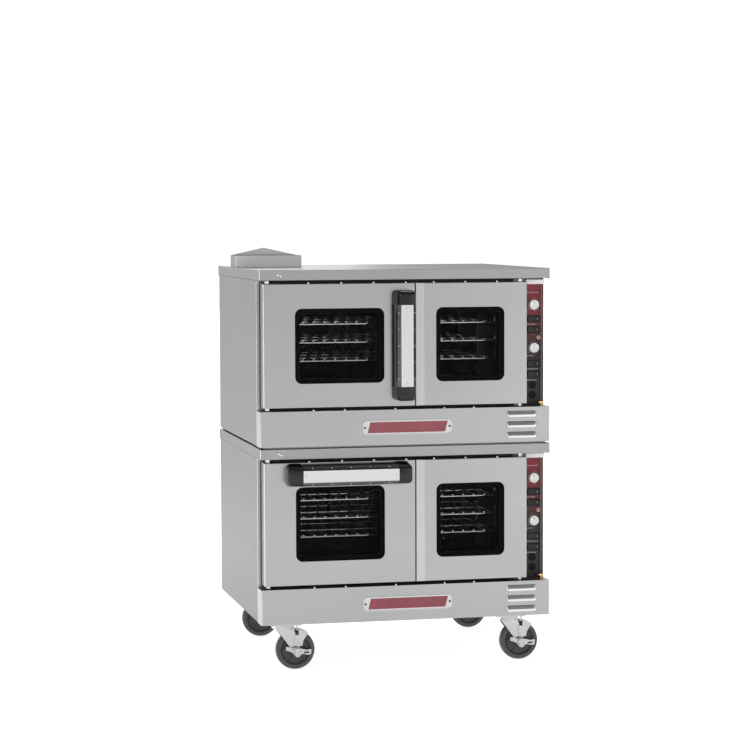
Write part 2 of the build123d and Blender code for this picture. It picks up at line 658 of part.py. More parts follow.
def knob(base, height):
    """Flat-faced round knob on a stub shaft."""
    z = base + height
    front = PANEL_FACE - KNOB_REACH
    body = rod_y(CONTROL_X, (front, PANEL_FACE - 1), z, KNOB_RADIUS)
    body = fillet(body.edges().sort_by(Axis.Y)[0], 2)
    return body + rod_y(CONTROL_X, (PANEL_FACE - 2, PANEL_FACE + 24), z, KNOB_SHAFT_RADIUS)


def rocker(base, height):
    """Rocker with a shallow hollow across its face, narrower behind the panel."""
    y = FRONT + PANEL_FACE
    tail = ROCKER_HALF_WIDTH - ROCKER_TAPER
    outline = polygon([
        (CONTROL_X - ROCKER_HALF_WIDTH, y - ROCKER_PROUD),
        (CONTROL_X, y - ROCKER_PROUD + ROCKER_HOLLOW),
        (CONTROL_X + ROCKER_HALF_WIDTH, y - ROCKER_PROUD),
        (CONTROL_X + tail, y + ROCKER_TAIL),
        (CONTROL_X - tail, y + ROCKER_TAIL),
    ])
    return Pos(0, 0, base + height - ROCKER_HEIGHT / 2) * extrude(outline, amount=ROCKER_HEIGHT)


# ================================================================ casters
def caster_mount(x, depth):
    """Top plate bolted under the base, with the kingpin that the fork turns on."""
    width, length, thick = MOUNT_PLATE
    bolt_radius, bolt_height = BOLT_HEAD
    bottom = CASTER_HEIGHT - thick
    plate = block(grown((x, x), width / 2), grown((depth, depth), length / 2), (bottom, CASTER_HEIGHT))
    plate = fillet(plate.edges().filter_by(Axis.Z), 6)
    for dx in (-MOUNT_BOLTS[0], MOUNT_BOLTS[0]):
        for dy in (-MOUNT_BOLTS[1], MOUNT_BOLTS[1]):
            plate += rod_z(x + dx, depth + dy, (bottom - bolt_height, bottom + 1), bolt_radius)
    return plate + rod_z(x, depth, (bottom - KINGPIN_DEPTH, bottom + 1), KINGPIN_RADIUS)


def fork_leg(x, depths):
    """Tapered leg from the crown down to the axle."""
    axle = x + WHEEL_TRAIL
    top = CROWN_HEIGHTS[0] + FORK_SHEET
    outline = polygon([
        (x - 30, top),
        (x + 26, top),
        (axle + 13, WHEEL_RADIUS + 4),
        (axle + 6, WHEEL_RADIUS - 12),
        (axle - 6, WHEEL_RADIUS - 12),
        (axle - 14, WHEEL_RADIUS + 2),
    ])
    leg = plate_xz(outline, depths)
    return leg - rod_y(axle, grown(depths, 1), WHEEL_RADIUS, AXLE_RADIUS + RUNNING)


def brake_arm(x, depth):
    """Flat arm outside the front leg, which carries the brake shoe."""
    axle = x + WHEEL_TRAIL
    outline = polygon([
        (axle - 5, WHEEL_RADIUS + 14),
        (axle + 20, WHEEL_RADIUS + 14),
        (axle + 23, WHEEL_RADIUS + 30),
        (axle + 38, WHEEL_RADIUS + 54),
        (axle + 20, WHEEL_RADIUS + 63.5),
        (axle + 8, WHEEL_RADIUS + 66),
        (axle + 8, WHEEL_RADIUS + 50),
        (axle - 5, WHEEL_RADIUS + 50),
    ])
    return plate_xz(outline, (depth - FORK_HALF - BRAKE_ARM, depth - FORK_HALF))


def brake_shoe(x, depth):
    """Curved plate over the tread, welded to the back of the brake arm."""
    axle = x + WHEEL_TRAIL
    depths = (depth - FORK_HALF, depth - FORK_HALF + SHOE_WIDTH)
    inner = WHEEL_RADIUS + SHOE_GAP
    shoe = rod_y(axle, depths, WHEEL_RADIUS, inner + SHOE_SHEET)
    shoe -= rod_y(axle, grown(depths, 1), WHEEL_RADIUS, inner)
    keep = polygon([
        (axle, WHEEL_RADIUS),
        (axle + 54, WHEEL_RADIUS + 72),
        (axle + 10, WHEEL_RADIUS + 90),
        (axle - 2, WHEEL_RADIUS + 90),
    ])
    return shoe & plate_xz(keep, grown(depths, 2))


def caster_fork(x, depth, braked):
    """Swivel fork: raceway disc, crown, two legs and the axle bolt, with a brake arm and shoe if braked."""
    top = CASTER_HEIGHT - MOUNT_PLATE[2] - FACE_GAP
    inner = FORK_HALF - FORK_SHEET
    fork = rod_z(x, depth, (CROWN_HEIGHTS[1], top), RACEWAY_RADIUS)
    fork += rod_z(x, depth, CROWN_HEIGHTS, CROWN_RADIUS)
    fork += fork_leg(x, (depth - FORK_HALF, depth - inner))
    fork += fork_leg(x, (depth + inner, depth + FORK_HALF))
    fork -= rod_z(x, depth, (top - KINGPIN_DEPTH - 1, top + 1), KINGPIN_RADIUS + RUNNING)
    axle = x + WHEEL_TRAIL
    nut_radius, nut = AXLE_NUT
    bolt_depths = (depth - FORK_HALF - 1, depth + FORK_HALF + 1)
    if braked:
        bolt_depths = (depth - FORK_HALF - LEVER_BOSS[1] - 5, bolt_depths[1])
    bolt = rod_y(axle, bolt_depths, WHEEL_RADIUS, AXLE_RADIUS)
    bolt += rod_y(axle, (bolt_depths[0] - nut, bolt_depths[0]), WHEEL_RADIUS, nut_radius)
    bolt += rod_y(axle, (bolt_depths[1], bolt_depths[1] + nut), WHEEL_RADIUS, nut_radius)
    brake = [brake_arm(x, depth), brake_shoe(x, depth)] if braked else []
    return [fork, bolt] + brake


def caster_wheel(x, depth):
    """Wheel with a rounded tread, a recessed web and a hub."""
    half = WHEEL_WIDTH / 2
    profile = polygon([
        (AXLE_RADIUS + RUNNING, -half),
        (20, -half),
        (24, -half + 7),
        (44, -half + 7),
        (49, -half),
        (58, -half),
        (WHEEL_RADIUS, -half + 7),
        (WHEEL_RADIUS, half - 7),
        (58, half),
        (49, half),
        (44, half - 7),
        (24, half - 7),
        (20, half),
        (AXLE_RADIUS + RUNNING, half),
    ])
    wheel = revolve(profile, Axis.Y)
    return Pos(x + WHEEL_TRAIL, FRONT + depth, WHEEL_RADIUS) * wheel


def brake_lever(x, depth):
    """Two-winged lever on the axle bolt, in front of the brake arm."""
    axle = x + WHEEL_TRAIL
    back = depth - FORK_HALF - BRAKE_ARM - 1
    z = WHEEL_RADIUS
    outline = polygon([
        (axle - 42, z + 10),
        (axle - 14, z + 12),
        (axle + 14, z + 12),
        (axle + 44, z + 10),
        (axle + 40, z - 8),
        (axle + 18, z - 8),
        (axle + 8, z - 20),
        (axle - 8, z - 20),
        (axle - 18, z - 8),
        (axle - 40, z - 5),
    ])
    wings = plate_xz(outline, (back - LEVER_SHEET, back))
    wings = fillet(wings.edges().filter_by(Axis.Y), 3)
    boss_radius, boss = LEVER_BOSS
    lever = wings + rod_y(axle, (back - boss, back), z, boss_radius)
    return lever - rod_y(axle, (back - boss - 1, back + 1), z, AXLE_RADIUS + RUNNING)


# ================================================================ write the nodes
def write_decks():
    """Write everything that each deck has one set of."""
    for deck, base in DECK_BASES.items():
        extra = stacking_frame(base) if deck == "upper" else []
        save(f"{deck}_cabinet_shell", *cabinet_shell(base), *extra)
        for side in DOOR_SPANS:
            save(f"{deck}_{side}_door_skin", door_skin(side, base))
            save(f"{deck}_{side}_door_liner", door_liner(side, base))
            save(f"{deck}_{side}_door_glass", *door_glass(side, base))
        save(f"{deck}_handle_grip", *handle_grip(deck))
        save(f"{deck}_handle_face_plate", handle_face_plate(deck))
        for level, height in RACK_HEIGHTS.items():
            save(f"{deck}_{level}_rack", rack(base, height))
        for name, height in KNOB_HEIGHTS.items():
            save(f"{deck}_{name}_knob", knob(base, height))
        for name, height in SWITCH_HEIGHTS.items():
            save(f"{deck}_{name}_switch", rocker(base, height))
        save(f"{deck}_blower_wheel", blower_wheel(base))


def write_shared():
    """Write the nodes that hold one group of pieces for both decks."""
    bases = DECK_BASES.values()
    save("top_covers", *[top_cover(base) for base in bases])
    save("front_panels", *[front_panel(base) for base in bases])
    save("flue_box", *flue_box())
    save("door_hinge_pins", *[pin for base in bases for pin in hinge_pins(base)])
    save("cavity_liners", *[plate for base in bases for plate in cavity_liner(base)])
    save("cavity_insulation", *[slab for base in bases for slab in insulation(base)])
    save("rack_guides", *[rack_guide(side, base) for base in bases for side in ("left", "right")])
    save("fan_motors", *[fan_motor(base) for base in bases])
    save("gas_burners", *[tube for base in bases for tube in burners(base)])
    save("gas_manifold", *gas_manifold())
    save("control_panels", *[piece for base in bases for piece in control_panel(base)])


def write_casters():
    """Write the four casters. The two front ones have brakes."""
    mounts = []
    for end, depth in CASTER_DEPTHS.items():
        for side, x in CASTER_X.items():
            braked = end == "front"
            mounts.append(caster_mount(x, depth))
            save(f"{end}_{side}_caster_fork", *caster_fork(x, depth, braked))
            save(f"{end}_{side}_caster_wheel", caster_wheel(x, depth))
            if braked:
                save(f"{end}_{side}_brake_lever", brake_lever(x, depth))
    save("caster_mounting_plates", *mounts)


os.makedirs("parts", exist_ok=True)
write_decks()
write_shared()
write_casters()
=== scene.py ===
"""Looks of the double-deck convection oven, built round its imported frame.

The row frame is in metres, +Z up, with the doors facing -Y. Piece sizes here are in millimetres: x,
depth behind the doors' front plane, and height above a deck's base. `place` turns them into metres.
"""

import json
import math

import bmesh
import bpy
from mathutils import Matrix, Vector


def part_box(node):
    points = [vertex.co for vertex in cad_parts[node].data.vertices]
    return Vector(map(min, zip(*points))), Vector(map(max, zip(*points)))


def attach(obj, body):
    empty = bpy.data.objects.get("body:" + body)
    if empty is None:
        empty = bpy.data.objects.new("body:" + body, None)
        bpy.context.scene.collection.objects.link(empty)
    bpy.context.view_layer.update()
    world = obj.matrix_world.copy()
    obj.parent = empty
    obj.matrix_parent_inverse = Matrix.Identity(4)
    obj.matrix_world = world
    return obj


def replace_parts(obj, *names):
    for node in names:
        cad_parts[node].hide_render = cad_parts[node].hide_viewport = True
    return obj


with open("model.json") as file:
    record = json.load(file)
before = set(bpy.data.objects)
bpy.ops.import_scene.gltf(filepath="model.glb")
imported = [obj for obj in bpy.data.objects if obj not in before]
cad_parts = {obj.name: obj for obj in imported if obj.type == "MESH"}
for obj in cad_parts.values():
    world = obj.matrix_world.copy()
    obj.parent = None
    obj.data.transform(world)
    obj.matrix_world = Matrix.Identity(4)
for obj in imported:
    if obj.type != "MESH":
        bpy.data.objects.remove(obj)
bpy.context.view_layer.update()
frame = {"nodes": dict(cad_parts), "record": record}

# ---------------------------------------------------------------- places taken from the frame
MM = 0.001
BODY = "oven_body"
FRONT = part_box("upper_left_door_skin")[0].y
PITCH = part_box("upper_timer_knob")[0].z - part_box("lower_timer_knob")[0].z
DECKS = {
    "lower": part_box("lower_cabinet_shell")[0].z,
    "upper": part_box("lower_cabinet_shell")[0].z + PITCH,
}
SIDES = ("left", "right")

# ---------------------------------------------------------------- driving sizes, in millimetres
# x and depth are in the row frame, and heights are above a deck's base.
PANEL_TOP = 114.5            # top of the front panel
FASCIA_BOTTOM = 535.5        # underside of the cover's fascia
BODY_BACK = 810.0            # depth of the back panel
FACE_FRAME = 74.0            # depth of the face frame behind the doors
MOUTH = {"x": (-405.0, 330.0), "z": (150.0, 510.0)}
EDGE_ROUNDING = {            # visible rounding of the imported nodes' edges
    "cabinet_shell": 1.2, "door_skin": 0.8, "front_panels": 1.2, "top_covers": 1.2,
    "face_plate": 0.9, "caster_fork": 0.7, "switch": 0.8, "mounting_plates": 0.6,
}

# doors
DOOR_TOP = 524.0
DOOR_BOTTOM = 125.5
DOOR_BACK = 58.0
WINDOW = {"overlap": 8.0, "radius": 22.0, "step_reach": 6.0, "lip": 1.2, "lip_depths": (0.3, 1.9)}
TUNNEL = {"step": 15.0, "front": 8.0, "radius": 10.0, "seal": 0.6, "inner_pane": (50.0, 54.0)}
LINER_BEAD = {"outer": (12.0, 26.0), "inner": (5.0, 20.0)}       # distance from the window, corner radius
LINER_SCREWS = {"inset": (14.0, 9.0), "radius": 4.0}
GASKET = {"inset": 9.0, "half_width": 6.0, "outer_radius": 20.0, "inner_radius": 8.0}
PIN_SCREW = ((4.2, -0.2), (4.2, 2.6), (3.0, 4.4), (0.0, 4.9))    # small screw that stands in a gap
DOOR_TOP_SCREWS = {"left": (-322.0, -214.0, -108.0, -1.0), "right": (92.0, 198.0, 305.0), "depth": 9.0}
PANEL_TOP_SCREWS = {"x": (-306.0, -203.0, -36.0, 128.0, 227.0), "depth": 12.0}
FASCIA_SCREWS = ((-423.0, 553.0), (-414.0, 549.0))
SEAM_STRIP = {"x": (-0.4, 1.6), "depths": (12.0, 46.0), "short": 3.0}
HINGE_X = {"left": -453.0, "right": 387.0}
HINGE_PLATE = {"past_pin": 11.0, "reach": 44.0, "depths": (18.0, 42.0), "thickness": 2.2}
HINGE_BOLTS = (22.0, 34.0)       # distances from the pin

# painted highlights: beads of bright steel along folded edges
PAINTED_FOLD_HIGHLIGHTS = (                 # half width, depth, lower end, upper end
    (480.4, 67.8, PANEL_TOP + 1, FASCIA_BOTTOM - 1),
    (480.4, 66.5, 2.0, PANEL_TOP - 1),
    (480.4, 0.9, 2.0, PANEL_TOP - 1),
    (482.1, 0.7, FASCIA_BOTTOM + 1, 567.0),
)
# painted lighter band: a strip of lighter steel on the face frame's flange
FLANGE_LIGHT_BAND = {"x": (-479.6, -472.0), "depths": (67.2, 68.2)}
# painted highlight: a bright steel bead along the left door's folded edge
LEFT_DOOR_HIGHLIGHT = {"x": -469.5, "depth": 1.3}
# black bar that paints the shadow line under the cover's hem
HEM = {"half_width": 481.6, "depths": (3.0, 818.0), "below": 0.7}
# tilted strip of lighter steel on the right door's edge, a painted lighter band
DOOR_BEVEL_LIGHT_BAND = ((31.4, 0.9), (58.6, -0.35), (58.6, 0.3), (31.4, 1.6))      # x and depth

# handles
CAP_LENGTH = 46.5
CAP_LAYERS = (                   # depth, half width, how far the end is drawn in, corner radius
    (-0.1, 38.0, 0.0, 15.0), (-20.0, 34.9, 0.0, 15.0), (-42.0, 31.4, 0.0, 14.5), (-48.0, 30.4, 1.0, 14.0),
    (-53.0, 28.4, 3.2, 13.5), (-57.0, 25.0, 6.6, 12.5), (-59.3, 21.4, 10.2, 11.0), (-60.0, 18.2, 13.4, 9.0),
)
CAP_STEPS = 6                    # facets in a cap's round corner
GRIP_SECTION = ((34.4, -22.0), (31.2, -43.0), (30.0, -46.6), (22.0, -54.8), (19.6, -56.7), (18.4, -57.0))
RIVET = ((2.0, 1.5), (1.8, -0.6), (1.1, -1.4), (0.0, -1.7))
RIVETS = {"count": 5, "across": 26.5, "depth": -50.5}
PLATE_SCREWS = {"inset": 9.0, "radius": 3.0}
PLATE_EDGE = 18.2                # half width of the face plate at its painted highlight beads

# controls
CONTROL_FACE = 84.0              # depth of the control panel's face
CONTROL_TOP = 514.0
SWITCHES = ("power", "fan", "cook_cool", "light")
SWITCH_BEZEL = {"outer": (47.0, 24.0, 3.0), "inner": (41.4, 18.9, 1.5), "proud": 2.5}   # size, corner radius
SWITCH_MARK = {"x": 14.0, "size": (1.6, 7.0)}
KNOBS = {"thermostat": 11, "timer": 13}      # ticks on each knob's scale
KNOB_PROFILE = ((1.0, 0.0), (1.0, 0.12), (0.96, 0.16), (0.94, 0.9), (0.9, 0.97), (0.82, 1.0), (0.76, 0.97))
KNOB_FLUTES = {"count": 24, "depth": 0.035, "between": (0.15, 0.95)}
TICKS = {"from": 19.5, "long": 24.0, "short": 22.5}      # distances from the knob's axis
LABEL_X = 426.0
LABEL_HEIGHTS = (486.0, 381.0, 277.0, 233.0, 196.0)
LABEL_DASHES = (9.0, 5.0, 7.0, 4.0, 10.0)
PILOT = (468.6, 337.0)
PILOT_LENS = ((4.4, 0.5), (4.4, -1.2), (3.6, -2.8), (2.0, -3.8), (0.0, -4.1))
DISC_X = 447.5
DISC_HEIGHTS = (180.0, 147.0)
DISC_PROFILE = (
    (12.3, 0.5), (12.3, -1.6), (11.1, -2.6), (9.7, -2.6), (9.1, -1.6), (3.0, -1.6), (2.4, -2.2), (0.0, -2.4),
)
THUMBSCREW = {"x": 468.0, "depth": 50.0, "wing": 16.5}
THUMBSCREW_STEM = ((5.5, -0.2), (5.5, 1.4), (3.6, 2.0), (3.6, 5.0), (2.4, 5.6), (2.4, 9.0), (0.0, 9.0))
CONTROL_WALL = {"x": (478.7, 479.0), "front": 69.5}
CONTROL_TRIMS = ((480.2, 68.2, FASCIA_BOTTOM - 1), (477.6, CONTROL_FACE - 0.8, CONTROL_TOP))  # x, depth, top

# front panel and flue
BADGE = {"x": (-148.0, 150.0), "z": (34.0, 80.5), "radius": 15.0}
BADGE_FIELD = {"x": (-131.0, 136.0), "z": (40.0, 75.0), "slant": 9.0}
LOUVRE = {"xs": (334.0, 437.0), "height": 20.0, "reach": 6.0, "end": 9.0}
LOUVRE_TOPS = (102.0, 67.5, 33.5)
LOUVRE_GRID = (28, 10)           # facets across and down
SHEET = 0.8                      # thickness of the louvres
FLUE_EAVES = 40.5                # height of the collar's walls above the cover
FLUE_BLADES = {"count": 3, "first": 18.0, "pitch": 27.0, "slope": 16.0, "thickness": 1.5}
FLUE_BLADE_HEIGHTS = (6.0, 30.0)

# inside and back
FAN_GUARD_RADII = (28.0, 52.0, 76.0, 98.0)
FAN_GUARD_DEPTH = 606.0
BAFFLE_FACE = 612.0
REAR_COVER = {"x": (-300.0, 225.0), "z": (150.0, 505.0), "thickness": 1.5}
REAR_LOUVRE = {"height": 17.0, "reach": 6.0, "end": 9.0}
REAR_LOUVRES = {"rows": 8, "width": 100.0, "column_offset": 75.0, "row_pitch": 34.0, "below": 45.0}
REAR_EDGE_SCREWS = {"x": (-467.0, 467.0), "z": (25.0, 195.0, 365.0, 535.0)}
CABLE_GLAND = (-380.0, BODY_BACK, 70.0)
RISER = {"inset": 18.0, "depth": 838.0, "branch_height": 60.0, "radius": 13.4, "tee_radius": 16.6}

# casters
AXLE_RADIUS = 6.0
TREAD = (                        # share of the wheel's radius and of its half width
    (0.74, -0.8), (0.78, -0.96), (0.88, -1.0), (0.95, -0.9), (0.99, -0.66), (1.0, -0.3),
    (1.0, 0.3), (0.99, 0.66), (0.95, 0.9), (0.88, 1.0), (0.78, 0.96), (0.74, 0.8), (0.74, -0.8),
)
WHEEL_CENTRE = (                 # share of the wheel's radius and of its half width
    (0.0, -1.0), (0.19, -1.0), (0.21, -0.94), (0.3, -0.82), (0.33, -0.6), (0.69, -0.56), (0.745, -0.78),
    (0.745, 0.78), (0.69, 0.56), (0.33, 0.6), (0.3, 0.82), (0.21, 0.94), (0.19, 1.0), (0.0, 1.0),
)
WHEEL_RIBS = {"count": 6, "from": 0.31, "to": 0.71, "half_width": 0.74, "half_thickness": 1.8}
LEVER_OUTLINE = (                # brake lever seen from the front, from the wheel's axle
    (-35, 14), (-22, 13), (-13, 8), (0, 7), (12, 7), (22, 5), (34, 2), (46, 4), (50, 1), (47, -14), (36, -15),
    (24, -11), (14, -13), (10, -20), (4, -22), (-3, -20), (-8, -14), (-14, -6), (-25, -1), (-36, 2),
)
LEVER_WING = {"length": 50.0, "set_back": 3.0}
LEVER_BOSS = ((6.2, 0.0), (13.0, 0.0), (13.0, -7.0), (11.0, -8.6), (6.2, -8.6))
LEVER_CAP = ((0.0, -6.0), (10.0, -6.0), (10.0, -10.4), (9.0, -11.4), (0.0, -11.4))
AXLE_NUT = ((0.0, 0.0), (9.6, 0.0), (10.6, 1.0), (10.6, 6.4), (0.0, 6.4))
CASTER_OFFSET = 34.0             # from the swivel's axis to the wheel's axle
RACE_RINGS = ((2.2, 33.6), (5.2, 32.0))      # distance under the mounting plate, radius
PLATE_THICKNESS = 4.0
PLATE_BOLT = ((0.0, -5.6), (6.4, -5.6), (7.3, -4.6), (7.3, 0.0), (9.0, 0.0), (9.0, 1.0))
PLATE_BOLT_PLACES = (40.0, 28.0)             # half distances between the bolts


def in_mm(point, base=0.0):
    """Row-frame point as x, depth and height above a base, in millimetres."""
    return Vector((point.x / MM, (point.y - FRONT) / MM, (point.z - base) / MM))


def middle(node, base=0.0):
    """Middle of a node's box in x, depth and height."""
    low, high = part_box(node)
    return in_mm((low + high) / 2, base)


def place(base=0.0):
    """Turns x, depth and height in millimetres into the row frame."""
    return Matrix.Translation((0, FRONT, base)) @ Matrix.Scale(MM, 4)


# ================================================================ mesh helpers
def lift(axis, u, v, t):
    """Point whose outline coordinates are u and v and whose place along the axis is t."""
    return {"X": (t, u, v), "Y": (u, t, v), "Z": (u, v, t)}[axis]


def add_prism(bm, outline, near, far, axis="Y"):
    """Solid with a closed outline, from near to far along the axis."""
    close_rings(bm, [[bm.verts.new(lift(axis, u, v, t)) for u, v in outline] for t in (near, far)])


def join_rings(bm, ring, other):
    """Strip of faces between two rings with the same number of points."""
    count = len(ring)
    for i in range(count):
        j = (i + 1) % count
        bm.faces.new((ring[i], ring[j], other[j], other[i]))


def close_rings(bm, rings):
    """Solid skinned over a row of rings, with a face at each end."""
    for ring, other in zip(rings, rings[1:]):
        join_rings(bm, ring, other)
    bm.faces.new(rings[0])
    bm.faces.new(rings[-1])


def add_frame(bm, outer, inner, near, far, axis="Y"):
    """Solid ring between two outlines with the same number of points."""
    rings = [
        [bm.verts.new(lift(axis, u, v, t)) for u, v in outline]
        for outline, t in ((outer, near), (inner, near), (inner, far), (outer, far))
    ]
    for i in range(4):
        join_rings(bm, rings[i], rings[(i + 1) % 4])


def add_lathe(bm, profile, centre, axis="Y", steps=32):
    """Solid turned round an axis through centre. The profile is radius and place along the axis."""
    c = Vector(centre)
    rings = []
    for radius, along in profile:
        ring = []
        for k in range(steps if radius > 0 else 1):
            angle = 2 * math.pi * k / steps
            offset = lift(axis, radius * math.cos(angle), radius * math.sin(angle), along)
            ring.append(bm.verts.new(c + Vector(offset)))
        rings.append(ring)
    for ring, other in zip(rings, rings[1:]):
        if len(ring) == 1 or len(other) == 1:
            tip, rim = (ring[0], other) if len(ring) == 1 else (other[0], ring)
            for k in range(steps):
                bm.faces.new((tip, rim[k], rim[(k + 1) % steps]))
        else:
            join_rings(bm, ring, other)


def rect(xs, zs):
    """Rectangular outline."""
    return [(xs[0], zs[0]), (xs[1], zs[0]), (xs[1], zs[1]), (xs[0], zs[1])]


def rounded(xs, zs, radius, steps=6):
    """Rectangular outline with round corners."""
    points = []
    corners = ((xs[1], zs[0], -90), (xs[1], zs[1], 0), (xs[0], zs[1], 90), (xs[0], zs[0], 180))
    for x, z, start in corners:
        cx = x - math.copysign(radius, x - sum(xs) / 2)
        cz = z - math.copysign(radius, z - sum(zs) / 2)
        for k in range(steps + 1):
            angle = math.radians(start + 90 * k / steps)
            points.append((cx + radius * math.cos(angle), cz + radius * math.sin(angle)))
    return points


def circle(x, z, radius, steps=24):
    """Round outline, or a regular polygon with few steps."""
    turn = 2 * math.pi / steps
    return [(x + radius * math.cos(turn * k), z + radius * math.sin(turn * k)) for k in range(steps)]


def around(middle_value, size):
    """Span of a size about a middle value."""
    return (middle_value - size / 2, middle_value + size / 2)


def grown(span, amount):
    """Span made longer at both ends."""
    return (span[0] - amount, span[1] + amount)


def new_object(name, bm, material, base=0.0, bevel=0.0, sharp=35.0):
    """Object made of a mesh in millimetres, shaded smooth between its sharp edges, which may be bevelled."""
    bmesh.ops.recalc_face_normals(bm, faces=bm.faces)
    bm.transform(place(base))
    mesh = bpy.data.meshes.new(name)
    bm.to_mesh(mesh)
    bm.free()
    mesh.materials.append(material)
    mesh.shade_smooth()
    mesh.set_sharp_from_angle(angle=math.radians(sharp))
    made = bpy.data.objects.new(name, mesh)
    bpy.context.scene.collection.objects.link(made)
    if bevel:
        round_edges(made, bevel, sharp)
    return made


def round_edges(made, width, sharp=35.0):
    """Bevel modifier on an object's sharp edges, with its width in millimetres."""
    rounding = made.modifiers.new("rounded_edges", "BEVEL")
    rounding.width = width * MM
    rounding.segments = 3
    rounding.limit_method = "ANGLE"
    rounding.angle_limit = math.radians(sharp)
    rounding.harden_normals = True


def piece(name, bm, material, body=BODY, base=0.0, bevel=0.0, sharp=35.0):
    """New object in a named finish that rides on a body."""
    made = new_object(name, bm, MATERIALS[material], base, bevel, sharp)
    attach(made, body)
    return made


def bar(name, outline, near, far, material, body=BODY, base=0.0, axis="Y", bevel=0.0):
    """Piece with a closed outline, from near to far along the axis."""
    bm = bmesh.new()
    add_prism(bm, outline, near, far, axis)
    piece(name, bm, material, body, base, bevel)


def tube(name, runs, radius, material, body=BODY, base=0.0, closed=False):
    """Round bars in a named finish, along one or more runs of points in millimetres."""
    curve = bpy.data.curves.new(name, "CURVE")
    curve.dimensions = "3D"
    curve.bevel_depth = radius * MM
    curve.bevel_resolution = 3
    curve.use_fill_caps = True
    for points in runs:
        spline = curve.splines.new("POLY")
        spline.points.add(len(points) - 1)
        for target, point in zip(spline.points, points):
            target.co = (*(place(base) @ Vector(point)), 1.0)
        spline.use_cyclic_u = closed
        spline.use_smooth = True
    curve.materials.append(MATERIALS[material])
    made = bpy.data.objects.new(name, curve)
    bpy.context.scene.collection.objects.link(made)
    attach(made, body)
    return made


def add_screw(bm, centre, radius, facing):
    """Pan head screw with a round dimple in its head. Facing is -1 or 1 along the depth axis, or 0 for
    upwards.
    """
    axis = "Z" if facing == 0 else "Y"
    out = facing or 1
    height = radius * 0.55
    profile = [
        (radius, 0.0),
        (radius, out * height * 0.35),
        (radius * 0.82, out * height * 0.8),
        (radius * 0.5, out * height),
        (radius * 0.16, out * height),
        (0.0, out * height * 0.4),
    ]
    add_lathe(bm, profile, centre, axis, steps=16)


def screws(name, centres, radius, facing, body=BODY, base=0.0, material="screw_steel"):
    """One piece made of a screw at each centre."""
    bm = bmesh.new()
    for centre in centres:
        add_screw(bm, centre, radius, facing)
    piece(name, bm, material, body, base)


# ================================================================ materials
def new_material(name):
    """Material with an empty principled shader, and its node tree."""
    material = bpy.data.materials.new(name)
    material.use_nodes = True
    return material, material.node_tree.nodes, material.node_tree.links


def noise(nodes, links, stretch, detail=4.0, roughness=0.55):
    """Noise that is stretched along some axes of the row frame. A larger number is a finer pattern."""
    coordinates = nodes.new("ShaderNodeTexCoord")
    mapping = nodes.new("ShaderNodeMapping")
    mapping.inputs["Scale"].default_value = stretch
    texture = nodes.new("ShaderNodeTexNoise")
    texture.inputs["Scale"].default_value = 1.0
    texture.inputs["Detail"].default_value = detail
    texture.inputs["Roughness"].default_value = roughness
    links.new(coordinates.outputs["Object"], mapping.inputs["Vector"])
    links.new(mapping.outputs["Vector"], texture.inputs["Vector"])
    return texture.outputs["Fac"]


def ramp(nodes, links, factor, stops):
    """Colour ramp through (place, colour) stops."""
    node = nodes.new("ShaderNodeValToRGB")
    elements = node.color_ramp.elements
    while len(elements) < len(stops):
        elements.new(0.5)
    for element, (position, colour) in zip(elements, stops):
        element.position = position
        element.color = (*colour, 1.0)
    links.new(factor, node.inputs["Fac"])
    return node.outputs["Color"]


def spread(nodes, links, factor, low, high):
    """Maps the middle of a noise onto a range of values."""
    node = nodes.new("ShaderNodeMapRange")
    node.inputs["From Min"].default_value = 0.3
    node.inputs["From Max"].default_value = 0.7
    node.inputs["To Min"].default_value = low
    node.inputs["To Max"].default_value = high
    links.new(factor, node.inputs["Value"])
    return node.outputs["Result"]


def multiply(nodes, links, one, other, share=1.0):
    """Product of two colours."""
    node = nodes.new("ShaderNodeMix")
    node.data_type = "RGBA"
    node.blend_type = "MULTIPLY"
    node.inputs["Factor"].default_value = share
    links.new(one, node.inputs["A"])
    links.new(other, node.inputs["B"])
    return node.outputs["Result"]


def shade(colour, amount):
    """Colour made lighter or darker."""
    return tuple(min(1.0, c * amount) for c in colour)


def surface(
    name, colour, metallic=0.0, roughness=0.5, grain=(60, 60, 60), contrast=0.06, roughness_span=0.06,
    bump=0.1, bump_height=0.1, clouds=(5, 5, 5), cloud_contrast=0.04, **fixed
):
    """Finish with a fine grain and broad soft clouds in its colour, and grain in roughness and bump."""
    material, nodes, links = new_material(name)
    shader = nodes["Principled BSDF"]
    shader.inputs["Metallic"].default_value = metallic
    for socket, value in fixed.items():
        shader.inputs[socket.replace("_", " ")].default_value = value
    fine = noise(nodes, links, grain)
    broad = noise(nodes, links, clouds, detail=2.0)
    fine_stops = [(0.3, shade(colour, 1 - contrast)), (0.7, shade(colour, 1 + contrast))]
    broad_stops = [(0.3, (1 - cloud_contrast,) * 3), (0.7, (1.0, 1.0, 1.0))]
    grained, clouded = ramp(nodes, links, fine, fine_stops), ramp(nodes, links, broad, broad_stops)
    links.new(multiply(nodes, links, grained, clouded), shader.inputs["Base Color"])
    spans = (roughness - roughness_span, roughness + roughness_span)
    links.new(spread(nodes, links, fine, *spans), shader.inputs["Roughness"])
    relief = nodes.new("ShaderNodeBump")
    relief.inputs["Strength"].default_value = bump
    relief.inputs["Distance"].default_value = bump_height * MM
    links.new(fine, relief.inputs["Height"])
    links.new(relief.outputs["Normal"], shader.inputs["Normal"])
    return material


def brushed_steel(
    name, level, roughness=0.34, tint=(1.0, 1.0, 1.0), contrast=0.014, grain=(3, 90, 900), rim=1.0
):
    """Stainless sheet with a brushed grain and a little smudging. Rim is its tint at a glancing view."""
    return surface(
        name, shade(tint, level), metallic=1.0, roughness=roughness, grain=grain, contrast=contrast,
        roughness_span=0.02, bump=0.03, bump_height=0.02, clouds=(2.5, 2.5, 4.0), cloud_contrast=0.05,
        Specular_Tint=(rim, rim, rim, 1.0),
    )


